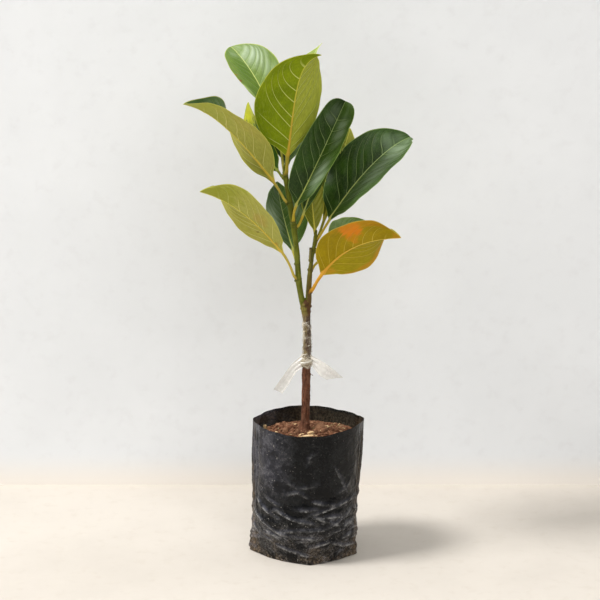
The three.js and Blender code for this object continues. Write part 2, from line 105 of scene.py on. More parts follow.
STALK_STEPS = 16
BLADE_STEPS = 48
FOOT_REACH = 1.4  # from the shoot's side to the middle of a stalk's foot, in the frame
TIP_STARTS = 0.78
TIP_HALF_WIDTH = 0.4
NECK_RADIUS = 1.5
MOST_FOLD = 60
LEAF_DEFAULTS = {
    "bend": -10, "tip_bend": 0, "sway": 0, "tip_sway": 0, "roll": 0, "twist": 0, "fold": 10, "tip_fold": 0,
    "widest_at": 1.15, "fullness": 0.7, "pointed": 0.3, "wave": 0.9, "stalk_radius": 1.65,
    "nicks": (),  # side, place along, depth and spread of dents in the margin
}
LEAVES = {
    "leaf_highest": {
        "shoot": MAIN_SHOOT, "z": 455, "start_bearing": 90, "start_rise": 82, "stalk": 44, "bearing": 26,
        "rise": 84, "length": 118, "width": 40, "bend": -30, "tip_bend": -10, "fold": 15, "pointed": 0.8,
        "wave": 0.3, "look": "fresh",
    },
    "leaf_top_left": {
        "shoot": MAIN_SHOOT, "z": 461, "start_bearing": 125, "start_rise": 84, "stalk": 70, "bearing": 143,
        "rise": 63, "length": 99, "width": 68, "bend": -34, "tip_bend": -8, "roll": -14, "twist": -12,
        "fold": 23, "pointed": 0.1, "wave": 0.5, "nicks": [(-1, 0.26, -3.5, 0.12)], "look": "glossy",
    },
    "leaf_top_front": {
        "shoot": MAIN_SHOOT, "z": 459, "start_bearing": -71, "start_rise": 83, "stalk": 23, "bearing": -65,
        "rise": 76, "length": 139, "width": 95, "bend": -7, "tip_bend": -58, "tip_sway": -44, "roll": 1,
        "twist": 18, "fold": 15, "tip_fold": 6, "widest_at": 0.95, "fullness": 0.68, "pointed": 0.42,
        "stalk_radius": 2, "wave": 0.5, "look": "lit",
    },
    "leaf_top_hidden": {
        "shoot": MAIN_SHOOT, "z": 455, "start_bearing": 172, "start_rise": 58, "stalk": 9, "bearing": 160,
        "rise": 48, "length": 88, "width": 36, "bend": -21, "sway": 27, "roll": -75, "twist": -59,
        "fold": 12, "widest_at": 0.95, "fullness": 0.5, "pointed": 0.1, "wave": 0.4, "look": "limetip",
    },
    "leaf_top_back": {
        "shoot": MAIN_SHOOT, "z": 445, "start_bearing": 90, "start_rise": 66, "stalk": 24, "bearing": 90,
        "rise": 60, "length": 98, "width": 54, "bend": -25, "tip_bend": -5, "look": "deep",
    },
    "leaf_upper_left": {
        "shoot": MAIN_SHOOT, "z": 425, "start_bearing": -165, "start_rise": 65, "stalk": 30, "bearing": -156,
        "rise": 53, "length": 148, "width": 72, "bend": -15, "tip_bend": -35, "sway": 5, "tip_sway": 5,
        "roll": 60, "twist": -105, "fold": 15, "tip_fold": 70, "widest_at": 1.2, "fullness": 0.65,
        "pointed": 0.25, "wave": 0.5, "nicks": [(1, 0.84, 6, 0.13)], "look": "straw",
    },
    "leaf_centre": {
        "shoot": MAIN_SHOOT, "z": 403, "start_bearing": -84, "start_rise": 90, "stalk": 21, "bearing": 7,
        "rise": 63, "length": 132, "width": 55, "bend": -3, "tip_bend": -8, "sway": -6, "tip_sway": 2,
        "roll": 50, "twist": 25, "fold": 35, "widest_at": 1.04, "fullness": 0.34, "pointed": -0.25,
        "wave": 0.5, "look": "deep",
    },
    "leaf_middle_back": {
        "shoot": MAIN_SHOOT, "z": 396, "start_bearing": 5, "start_rise": 62, "stalk": 16, "bearing": 6,
        "rise": 72, "length": 92, "width": 26, "roll": 50, "twist": 5, "fold": 12, "fullness": 0.74,
        "wave": 0.3, "look": "deep",
    },
    "leaf_low_back": {
        "shoot": MAIN_SHOOT, "z": 352, "start_bearing": 105, "start_rise": 40, "stalk": 18, "bearing": 119,
        "rise": 55, "length": 86, "width": 62, "bend": 10, "tip_bend": 5, "tip_sway": 5, "roll": 5,
        "twist": 10, "fold": 15, "widest_at": 1.1, "look": "bluish",
    },
    "leaf_lower_left": {
        "shoot": MAIN_SHOOT, "z": 334, "start_bearing": -155, "start_rise": 75, "stalk": 38, "bearing": -158,
        "rise": 53, "length": 128, "width": 80, "bend": -25, "tip_bend": -10, "sway": 10, "tip_sway": 15,
        "roll": 30, "twist": -20, "fold": -5, "tip_fold": 75, "pointed": 0.45, "wave": 0.6, "look": "straw",
    },
    "leaf_right_large": {
        "shoot": SIDE_SHOOT, "z": 382, "start_bearing": 5, "start_rise": 60, "stalk": 27, "bearing": 14,
        "rise": 57, "length": 140, "width": 82, "bend": -30, "tip_bend": -20, "tip_sway": 5, "roll": 25,
        "twist": 10, "fold": 20, "widest_at": 1.05, "fullness": 0.5, "pointed": 0.1, "wave": 0.6,
        "nicks": [(1, 0.955, 3.4, 0.016), (1, 0.6, 1.2, 0.03)], "look": "deep",
    },
    "leaf_young_short": {
        "shoot": SIDE_SHOOT, "z": 381, "start_bearing": 85, "start_rise": 35, "stalk": 9, "bearing": 112,
        "rise": 76, "length": 76, "width": 31, "bend": -5, "wave": 0.4, "look": "olive",
    },
    "leaf_young_tall": {
        "shoot": SIDE_SHOOT, "z": 376, "start_bearing": 70, "start_rise": 35, "stalk": 33, "bearing": 48,
        "rise": 66, "length": 114, "width": 44, "roll": 40, "wave": 0.6, "look": "olive",
    },
    "leaf_right_behind": {
        "shoot": SIDE_SHOOT, "z": 368, "start_bearing": 20, "start_rise": 50, "stalk": 22, "bearing": 45,
        "rise": 10, "length": 80, "width": 56, "roll": 10, "look": "grassy",
    },
    "leaf_right_back": {
        "shoot": SIDE_SHOOT, "z": 345, "start_bearing": 60, "start_rise": 35, "stalk": 16, "bearing": 48,
        "rise": 16, "length": 88, "width": 50, "bend": -20, "look": "deep",
    },
    "leaf_orange": {
        "shoot": SIDE_SHOOT, "z": 320, "start_bearing": -40, "start_rise": 62, "stalk": 27, "bearing": -18,
        "rise": 54, "length": 111, "width": 90, "bend": -42, "tip_bend": 5, "sway": -39, "roll": -65,
        "twist": 51, "fold": -4, "tip_fold": 70, "widest_at": 1.05, "fullness": 0.71, "pointed": 0.45,
        "stalk_radius": 2.1, "wave": 0.5, "look": "mustard",
    },
}
YOUNG = ("leaf_highest", "leaf_young_short", "leaf_young_tall", "leaf_orange")

# Leaf mesh: columns go once round the section, and rows follow the side veins.

LEAF_COLUMNS = 88
HALF_COLUMNS = LEAF_COLUMNS // 4
RIB_COLUMNS = (0, 0.42, 0.78, 1, 1.2)  # the first columns, in half widths of the midrib
STALK_ROWS = 17
VEINS = 8
VEIN_STEPS = (-0.4, -0.3, -0.2, -0.1, -0.045, 0, 0.045, 0.1, 0.2, 0.3, 0.4, 0.5)
BASE_ROWS = (0.5, 0.55, 0.65, 0.75, 0.85)
TIP_ROWS = (0.45, 0.47, 0.49)
FIRST_VEIN = 0.045  # where the first and the last vein leave the midrib
LAST_VEIN = 0.82
VEIN_SWEEP = 0.46  # how far a vein runs towards the tip, as a share of the length, on the widest leaf
OUTWARD_POWER = 1.35
VEIN_RIDGE = 0.055  # half width of a vein's ridge, in steps from vein to vein
WAVE_LENGTH = 42
SURFACE_SPAN = 200  # what one unit of a leaf's UV map stands for

# Looks of the leaves, as sRGB colours. upper and under each give two colours that the blade drifts between,
# pale is a painted sheen that the half on the viewer's right tends to, and vein, rib and rim draw the lines.

LOOKS = {
    "deep": {
        "upper": ("#1d3604", "#2b4b06"), "upper_pale": "#3f5d18", "under": ("#87933a", "#949d49"),
        "under_pale": "#a3a65a", "vein": "#8ea565", "rib": ("#b9c06a", "#a9bd7a"), "rim": "#86a050",
        "stalk": "#c0a83a",
    },
    "glossy": {
        "upper": ("#61802c", "#758f37"), "upper_pale": "#788f46", "under": ("#9bab50", "#a9b764"),
        "under_pale": "#b3bf7b", "vein": "#a9bf74", "rib": ("#d2d57f", "#d3dd8e"), "rim": "#c6d269",
        "stalk": "#aaa545",
    },
    "bluish": {
        "upper": ("#3f5c2a", "#4f6d38"), "upper_pale": "#4c6a26", "under": ("#8a964a", "#96a055"),
        "under_pale": "#a3a65a", "vein": "#93ab72", "rib": ("#c0c76a", "#b6c684"), "rim": "#8ba45a",
        "stalk": "#b3aa40",
    },
    "lit": {
        "upper": ("#4a7520", "#5a852a"), "upper_pale": "#6f8d40", "under": ("#758a00", "#879b04"),
        "under_pale": "#b6bc48", "vein": "#d3d87c", "rib": ("#cdaa3e", "#cdcb4c"), "rim": "#d6da5c",
        "stalk": "#a39534",
    },
    "straw": {
        "upper": ("#3a5f26", "#4c7236"), "upper_pale": "#5f7f45", "under": ("#a09f3d", "#adaa4a"),
        "under_pale": "#aeaf54", "vein": "#d6d584", "rib": ("#dabf4a", "#d3cf60"), "rim": "#d8d966",
        "stalk": "#c9b552",
    },
    "limetip": {
        "upper": ("#29490f", "#335a12"), "upper_pale": "#33560f", "under": ("#88952f", "#96a040"),
        "under_pale": "#a3a65a", "vein": "#6f8d3a", "rib": ("#93a244", "#b5bb45"), "rim": "#9aa42c",
        "stalk": "#77802c",
    },
    "fresh": {
        "upper": ("#86993c", "#98ac50"), "upper_pale": "#a2b368", "under": ("#a4b45e", "#b3c170"),
        "under_pale": "#bcc98a", "vein": "#c9d28e", "rib": ("#cdd287", "#ccd995"), "rim": "#d3db96",
        "stalk": "#9da24a",
    },
    "olive": {
        "upper": ("#6d7411", "#7f861a"), "upper_pale": "#8b8c2c", "under": ("#787c14", "#8a8d22"),
        "under_pale": "#96963a", "vein": "#b3b44a", "rib": ("#cdbf4a", "#c4c052"), "rim": "#ccc852",
        "stalk": "#8f8c2c",
    },
    "grassy": {
        "upper": ("#5f8126", "#749236"), "upper_pale": "#82994a", "under": ("#97a24e", "#a4ac5c"),
        "under_pale": "#a9b36f", "vein": "#adbc6c", "rib": ("#cbce72", "#c4ce7c"), "rim": "#c0c96e",
        "stalk": "#aaa540",
    },
    "mustard": {
        "upper": ("#7f8a26", "#95912a"), "upper_pale": "#a19c46", "under": ("#9b8608", "#ab950e"),
        "under_pale": "#a39819", "vein": "#cbb546", "rib": ("#dfa93c", "#d8bf54"), "rim": "#d2be58",
        "stalk": "#d69e34",
    },
}

# Marks on single leaves: side, centre across (-1 left margin, 1 right margin, seen from above) and along,
# reach across and along, colour, strength. Marks in the sheen colour are a painted sheen.

# A painted sheen: the pale gloss that light leaves on a blade.
SHEEN = "#b9cbb4"  # marks of this colour are laid with soft edges
MARKS = {
    "leaf_orange": [
        ("under", 0.74, 0.6, 0.34, 0.1, "#e08420", 0.9),
        ("under", 0.42, 0.54, 0.32, 0.06, "#e08a1c", 0.5),
        ("under", 0.9, 0.68, 0.22, 0.24, "#c98a22", 0.5),
        ("under", -0.95, 0.45, 0.14, 0.3, "#cf8f28", 0.55),
        ("under", 0.1, 0.98, 0.9, 0.07, "#c98b2a", 0.5),
        ("under", -0.4, 0.05, 0.6, 0.06, "#d0922a", 0.5),
    ],
    "leaf_top_hidden": [("upper", 0, 1.0, 1.6, 0.36, "#b9bb20", 0.95)],
    "leaf_top_left": [
        ("upper", 0.45, 0.74, 0.6, 0.22, SHEEN, 0.5),
        ("upper", 0.6, 0.48, 0.4, 0.14, SHEEN, 0.28),
        ("upper", -0.35, 0.85, 0.4, 0.1, SHEEN, 0.25),
        ("upper", -1, 0.25, 0.2, 0.14, "#b9cb86", 0.85),
        ("upper", -0.95, 0.42, 0.12, 0.018, "#8a3f1c", 0.9),
        ("upper", -0.93, 0.5, 0.1, 0.012, "#9a6a2c", 0.6),
    ],
    "leaf_centre": [
        ("upper", 0.55, 0.32, 0.5, 0.2, SHEEN, 0.38),
        ("upper", 0.5, 0.75, 0.4, 0.2, SHEEN, 0.25),
        ("upper", -0.3, 0.85, 0.5, 0.12, SHEEN, 0.14),
    ],
    "leaf_right_large": [
        ("upper", 0.4, 0.8, 0.5, 0.2, SHEEN, 0.28),
        ("upper", 0.5, 0.52, 0.4, 0.2, SHEEN, 0.18),
        ("upper", -0.3, 0.85, 0.5, 0.14, SHEEN, 0.14),
    ],
    "leaf_low_back": [
        ("upper", -0.7, 0.45, 0.5, 0.3, SHEEN, 0.42),
        ("upper", 0.6, 0.6, 0.4, 0.2, SHEEN, 0.2),
    ],
    "leaf_lower_left": [
        ("under", -0.4, 0.42, 0.3, 0.1, "#b9803a", 0.25),
        ("under", 0.3, 0.28, 0.1, 0.015, "#6a5a1c", 0.7),
        ("under", -0.1, 0.1, 0.3, 0.02, "#c07f33", 0.4),
        ("under", 0, 0.97, 1.4, 0.34, "#8e9823", 0.55),
    ],
    "leaf_upper_left": [
        ("under", -0.8, 0.55, 0.25, 0.25, "#bd9a4c", 0.12),
        ("under", 0, 0.97, 1.4, 0.34, "#96a032", 0.5),
        ("upper", 0.2, 0.8, 0.9, 0.2, SHEEN, 0.15),
    ],
}

# Small helpers


def linear(hex_colour):
    """A linear RGBA colour from an sRGB one written as #rrggbb."""
    parts = [int(hex_colour[i:i + 2], 16) / 255 for i in (1, 3, 5)]
    return [p / 12.92 if p <= 0.04045 else ((p + 0.055) / 1.055) ** 2.4 for p in parts] + [1]


def smooth(low, high, value):
    """A share that grows from 0 at low to 1 at high, rounded at both ends."""
    share = np.clip((value - low) / (high - low), 0, 1)
    return share * share * (3 - 2 * share)


def mix(start, end, share):
    return start + (end - start) * share


def curve(start, end, leaving, arriving, share):
    """A smooth line from start to end that leaves and arrives with the given slopes."""
    first = start * (1 + 2 * share) * (1 - share) ** 2 + leaving * share * (1 - share) ** 2
    last = end * share ** 2 * (3 - 2 * share) + arriving * share ** 2 * (share - 1)
    return first + last


def stacked(x, y, z):
    """Points from their three coordinates."""
    return np.stack([x, y, z], axis=1)


def heading(bearing, rise):
    """The unit vector of a bearing and a rise, in degrees."""
    turn, tilt = np.radians(bearing), np.radians(rise)
    return np.stack([np.cos(turn) * np.cos(tilt), np.sin(turn) * np.cos(tilt), np.sin(tilt)], axis=-1)


def unit(vectors):
    return vectors / np.linalg.norm(vectors, axis=-1, keepdims=True)


def rumple(points, scale, octaves=3):
    """Soft noise at points in millimetres, about -1 to 1, with bumps about 1 / scale apart."""
    return np.array([noise.fractal(Vector(p) * scale, 0.8, 2.1, octaves) for p in points])


def ridges(points, scale, octaves=3):
    """Sharp-crested noise, about 0 to 1."""
    values = [noise.ridged_multi_fractal(Vector(p) * scale, 0.9, 2.1, octaves, 1, 2) for p in points]
    return np.clip(np.array(values) / 2, 0, 1.3)


def deselect():
    """Leaves edit mode, and selects nothing."""
    if bpy.context.object and bpy.context.object.mode != "OBJECT":
        bpy.ops.object.mode_set(mode="OBJECT")
    bpy.ops.object.select_all(action="DESELECT")


def pick(*pieces):
    deselect()
    for piece in pieces:
        piece.select_set(True)
    bpy.context.view_layer.objects.active = pieces[0]


def apply_modifier(piece, kind, **settings):
    pick(piece)
    modifier = piece.modifiers.new(kind.title(), kind)
    for key, value in settings.items():
        setattr(modifier, key, value)
    bpy.ops.object.modifier_apply(modifier=modifier.name)


def join(pieces):
    pick(*pieces)
    bpy.ops.object.join()
    return bpy.context.object


def select_edges(piece, test):
    """Enters edit mode with just the edges selected whose two ends pass the test."""
    pick(piece)
    bpy.ops.object.mode_set(mode="EDIT")
    bpy.ops.mesh.select_mode(type="EDGE")
    bpy.ops.mesh.select_all(action="DESELECT")
    form = bmesh.from_edit_mesh(piece.data)
    for edge in form.edges:
        if test(edge.verts[0].co, edge.verts[1].co):
            edge.select_set(True)
    bmesh.update_edit_mesh(piece.data)


def blank_tube(name, columns, rows, ends="NGON"):
    """A cylinder with its wall cut into rows. grid_of reads which row and column a point is in.

    Above a hundred rows the number has to be even, because the wall is cut in two first.
    """
    deselect()
    bpy.ops.mesh.primitive_cylinder_add(
        vertices=columns, radius=1, depth=1, end_fill_type=ends, location=(0, 0, 0.5)
    )
    piece = bpy.context.object
    piece.name = name
    bpy.ops.object.transform_apply(location=True, rotation=True, scale=True)
    parts = 2 if rows > MOST_CUTS else 1
    for cuts in (parts - 1, rows // parts - 1):
        if cuts:
            select_edges(piece, lambda a, b: abs(a.z - b.z) > 0.4)
            bpy.ops.mesh.subdivide(number_cuts=cuts)
            bpy.ops.object.mode_set(mode="OBJECT")
    return piece


def points_of(piece):
    """A piece's points, in metres."""
    flat = np.empty(len(piece.data.vertices) * 3)
    piece.data.vertices.foreach_get("co", flat)
    return flat.reshape(-1, 3)


def grid_of(piece, columns, rows):
    """The row and the column of every point of a blank tube."""
    points = points_of(piece)
    turns = np.arctan2(points[:, 1], points[:, 0]) / (2 * math.pi)
    column = np.rint(turns * columns).astype(int) % columns
    row = np.rint(points[:, 2] * rows).astype(int)
    return row, column


def set_points(piece, points_mm):
    """Moves the mesh's points, and turns it inside out if its faces would point inwards."""
    mesh = piece.data
    mesh.vertices.foreach_set("co", (np.asarray(points_mm) * MM).ravel())
    mesh.update()
    form = bmesh.new()
    form.from_mesh(mesh)
    inside_out = form.calc_volume(signed=True) < 0
    form.free()
    if inside_out:
        mesh.flip_normals()
    mesh.update()


def write_attribute(piece, name, values):
    attribute = piece.data.attributes.new(name, "FLOAT", "POINT")
    attribute.data.foreach_set("value", np.asarray(values, dtype=np.float32))


def smooth_shading(piece, degrees=60):
    pick(piece)
    bpy.ops.object.shade_smooth_by_angle(angle=math.radians(degrees))


def keep(piece, name, slot, *nodes):
    """Names a finished piece, and ties it to the frame."""
    piece.name = name
    piece.data.name = name
    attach(piece, "root")
    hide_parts(*nodes)


def scatter(template, places, name, draw):
    """One mesh of many copies of a template, each with its own tone, in place of the template.

    Each place is a matrix.
    """
    points = points_of(template)
    faces = [list(face.vertices) for face in template.data.polygons]
    all_points, all_faces, tones = [], [], []
    for place in places:
        start = len(all_points)
        all_points.extend((place @ Vector(p))[:] for p in points)
        tones.extend([draw.random() ** 2] * len(points))
        all_faces.extend([start + corner for corner in face] for face in faces)
    mesh = bpy.data.meshes.new(name)
    mesh.from_pydata(all_points, [], all_faces)
    mesh.update()
    piece = bpy.data.objects.new(name, mesh)
    bpy.context.scene.collection.objects.link(piece)
    write_attribute(piece, "tone", tones)
    bpy.data.objects.remove(template)
    return piece


class Finish:
    """A material's nodes, added one at a time in front of a Principled shader."""

    def __init__(self, name, **settings):
        self.material = bpy.data.materials.new(name)
        self.material.use_nodes = True
        self.tree = self.material.node_tree
        self.shader = self.tree.nodes["Principled BSDF"]
        self.colour = None
        self.set(**settings)

    def node(self, kind, settings=None, **inputs):
        node = self.tree.nodes.new(kind)
        for key, value in (settings or {}).items():
            setattr(node, key, value)
        for key, value in inputs.items():
            self.feed(node.inputs[key.replace("_", " ")], value)
        return node

    def feed(self, socket, value):
        """Gives a socket another node's output, a number, a vector or a colour written as #rrggbb."""
        if isinstance(value, bpy.types.NodeSocket):
            self.tree.links.new(value, socket)
        else:
            socket.default_value = linear(value) if isinstance(value, str) else value

    def set(self, **inputs):
        for key, value in inputs.items():
            self.feed(self.shader.inputs[key.replace("_", " ")], value)

    def read(self, attribute):
        """The values that write_attribute gave the piece's points."""
        return self.node("ShaderNodeAttribute", {"attribute_name": attribute}).outputs["Fac"]

    def place(self):
        return self.node("ShaderNodeTexCoord").outputs["Object"]

    def measure(self, axis):
        """The place along an axis, in millimetres."""
        place = self.node("ShaderNodeSeparateXYZ", Vector=self.place())
        return self.math("MULTIPLY", place.outputs[axis], 1 / MM)

    def surface(self):
        """The piece's own UV map."""
        return self.node("ShaderNodeTexCoord").outputs["UV"]

    def math(self, operation, *values, clamp=False):
        node = self.node("ShaderNodeMath", {"operation": operation, "use_clamp": clamp})
        for socket, value in zip(node.inputs, values):
            self.feed(socket, value)
        return node.outputs[0]

    def times(self, first, *factors):
        for factor in factors:
            first = self.math("MULTIPLY", first, factor)
        return first

    def plus(self, first, second, clamp=False):
        return self.math("ADD", first, second, clamp=clamp)

    def warped(self, vector, scale, reach):
        """The same places, each moved a little by noise."""
        warp = self.node("ShaderNodeTexNoise", Vector=vector, Scale=scale, Detail=2)
        shift = self.node("ShaderNodeVectorMath", {"operation": "SCALE"}, Scale=reach)
        self.feed(shift.inputs[0], warp.outputs["Color"])
        moved = self.node("ShaderNodeVectorMath", {"operation": "ADD"})
        self.feed(moved.inputs[0], vector)
        self.feed(moved.inputs[1], shift.outputs[0])
        return moved.outputs[0]

    def stretch(self, vector, scale, offset=(0, 0, 0)):
        return self.node("ShaderNodeMapping", Vector=vector, Scale=scale, Location=offset).outputs[0]

    def speckle(self, vector, scale, detail=3, roughness=0.55, distortion=0):
        """Noise, mostly between 0.3 and 0.7."""
        return self.node(
            "ShaderNodeTexNoise", Vector=vector, Scale=scale, Detail=detail, Roughness=roughness,
            Distortion=distortion,
        ).outputs["Fac"]

    def cells(self, vector, scale, feature="DISTANCE_TO_EDGE"):
        """Cells, as the distance to their edges, or to their middles with feature F1."""
        node = self.node("ShaderNodeTexVoronoi", {"feature": feature}, Vector=vector, Scale=scale)
        return node.outputs["Distance"]

    def span(self, value, low, high, to_low=0, to_high=1):
        """to_low below low and to_high above high, with a smooth step between them."""
        node = self.node("ShaderNodeMapRange", {"interpolation_type": "SMOOTHSTEP", "clamp": True})
        for key, number in (
            ("Value", value), ("From Min", low), ("From Max", high), ("To Min", to_low), ("To Max", to_high),
        ):
            self.feed(node.inputs[key], number)
        return node.outputs["Result"]

    def blend(self, share, first, second, how="MIX"):
        """The first colour at share 0, and the second at share 1."""
        node = self.node("ShaderNodeMix", {"data_type": "RGBA", "blend_type": how, "clamp_factor": True})
        for socket, value in ((0, share), (6, first), (7, second)):
            self.feed(node.inputs[socket], value)
        return node.outputs[2]

    def paint(self, share, colour, how="MIX"):
        """Lays a colour over what is painted so far."""
        self.colour = self.blend(share, self.colour, colour, how)

    def done(self, relief):
        """Gives the shader the painted colour and its relief, and returns the material."""
        self.set(Base_Color=self.colour, Normal=relief)
        return self.material

    def bump(self, height, strength, distance, before=None):
        """Relief over the relief that went before."""
        node = self.node("ShaderNodeBump", Height=height, Strength=strength, Distance=distance)
        if before is not None:
            self.feed(node.inputs["Normal"], before)
        return node.outputs[0]


# Limbs


def limb_value(stations, z, key):
    """The value of one key at heights z, on a smooth curve through a limb's stations."""
    table = np.array(stations, dtype=float)
    heights = table[:, LIMB_KEYS.index("z")]
    values = table[:, LIMB_KEYS.index(key)]
    slopes = np.gradient(values, heights)
    z = np.asarray(z, dtype=float)
    i = np.clip(np.searchsorted(heights, z, side="right") - 1, 0, len(heights) - 2)
    width = heights[i + 1] - heights[i]
    share = np.clip((z - heights[i]) / width, 0, 1)
    return curve(values[i], values[i + 1], slopes[i] * width, slopes[i + 1] * width, share)


def limb_straight(stations, z, key):
    """The same on straight lines from station to station, as in the frame."""
    table = np.array(stations, dtype=float)
    return float(np.interp(z, table[:, LIMB_KEYS.index("z")], table[:, LIMB_KEYS.index(key)]))


# Leaves


def leaf_spine(leaf):
    """Stations from the stalk's foot, at -1, past the blade's base, at 0, to the tip, at 1."""
    out = limb_straight(leaf["shoot"], leaf["z"], "across") + FOOT_REACH
    place = heading(leaf["start_bearing"], 0) * out
    place += (limb_straight(leaf["shoot"], leaf["z"], "x"), 0, leaf["z"])
    rows = []
    for step in range(STALK_STEPS + 1):
        share = step / STALK_STEPS
        bearing = mix(leaf["start_bearing"], leaf["bearing"], share)
        rise = mix(leaf["start_rise"], leaf["rise"], share)
        forward = heading(bearing, rise)
        flat = heading(bearing, rise + 90)
        roll = math.radians(leaf["roll"] * share)
        upper = flat * math.cos(roll) + np.cross(forward, flat) * math.sin(roll)
        if step < STALK_STEPS:
            rows.append((share - 1, place, forward, upper))
            place = place + forward * leaf["stalk"] / STALK_STEPS
    step = 1 / BLADE_STEPS
    for i in range(BLADE_STEPS + 1):
        rows.append((i * step, place, forward, upper))
        along = (i + 0.5) * step
        right = np.cross(forward, upper)
        # The powers keep a tip's bend near the tip, and the factors keep its total.
        pitch = math.radians(leaf["bend"] + leaf["tip_bend"] * 5 * along ** 4) * step
        yaw = math.radians(leaf["sway"] + leaf["tip_sway"] * 7 * along ** 6) * step
        turn = math.radians(leaf["twist"]) * step
        place = place + forward * leaf["length"] * step
        forward = unit(forward + upper * pitch + right * yaw)
        upper = upper + right * turn
        upper = unit(upper - forward * (upper @ forward))
    return rows


def on_spine(spine, along):
    """Place, forward and upper side at each value of along, on a smooth curve."""
    stations = np.array([row[0] for row in spine])
    places = np.array([row[1] for row in spine])
    forwards = np.array([row[2] for row in spine])
    uppers = np.array([row[3] for row in spine])
    ahead = unit(forwards + np.vstack([forwards[:1], forwards[:-1]]))
    i = np.clip(np.searchsorted(stations, along, side="right") - 1, 0, len(stations) - 2)
    share = np.clip((along - stations[i]) / (stations[i + 1] - stations[i]), 0, 1)[:, None]
    span = np.linalg.norm(places[i + 1] - places[i], axis=1)[:, None]
    place = curve(places[i], places[i + 1], ahead[i] * span, ahead[i + 1] * span, share)
    forward = unit(mix(ahead[i], ahead[i + 1], share))
    upper = mix(uppers[i], uppers[i + 1], share)
    upper = unit(upper - forward * np.sum(upper * forward, axis=1, keepdims=True))
    return place, forward, upper


def half_width(along, leaf):
    """Half the width of a blade, without its nicks."""
    inside = np.clip(along, 1e-6, 1 - 1e-6)
    body = np.sin(math.pi * inside ** leaf["widest_at"]) ** leaf["fullness"]
    return leaf["width"] / 2 * body * (1 - leaf["pointed"] * smooth(TIP_STARTS, 1, inside))


def vein_rows(draw):
    """Row values of the blade and where each meets the midrib. A whole number is a side vein."""
    rows = [vein + step for vein in range(1, VEINS + 1) for step in VEIN_STEPS]
    rows = sorted([*BASE_ROWS, *rows, *(VEINS + step for step in TIP_ROWS)])
    shares = [(vein / (VEINS - 1)) ** 1.08 for vein in range(VEINS)]
    veins = [mix(FIRST_VEIN, LAST_VEIN, share) + draw.uniform(-0.013, 0.013) for share in shares]
    at = np.interp(rows, [0.5] + list(range(1, VEINS + 1)) + [VEINS + 0.5], [0] + veins + [1])
    return np.array(rows), at


def leaf_columns(column):
    """Each column's side, whether it is above or below, its count from the midrib and how far out it is."""
    step = np.where(column <= 2 * HALF_COLUMNS, column - HALF_COLUMNS, 3 * HALF_COLUMNS - column)
    face = np.where(column < 2 * HALF_COLUMNS, 1.0, -1.0)
    face[(column == 0) | (column == 2 * HALF_COLUMNS)] = 0
    side = np.where(step < 0, -1.0, 1.0)
    count = np.abs(step)
    outward = np.clip((count - len(RIB_COLUMNS) + 1) / (HALF_COLUMNS - len(RIB_COLUMNS) + 1), 0, 1)
    return side, face, count, outward ** OUTWARD_POWER


def swept(start, side, outward, leaf):
    """Where the blade's points lie along it: rows lean towards the tip going out, as side veins do."""
    inside = np.clip(start, 0, 1)
    lean = smooth(-0.1, 0.3, inside) * np.minimum(1, (1 - inside) / 0.62)
    reach = VEIN_SWEEP * np.clip(leaf["width"] / leaf["length"] / 0.68, 0.5, 1.1)
    bow = 0.62 * outward + 0.38 * outward ** 2.4
    jog = np.where(side < 0, 0.03 * smooth(0, 0.16, outward), 0)
    return np.minimum(inside + lean * (reach * bow + jog), 1)


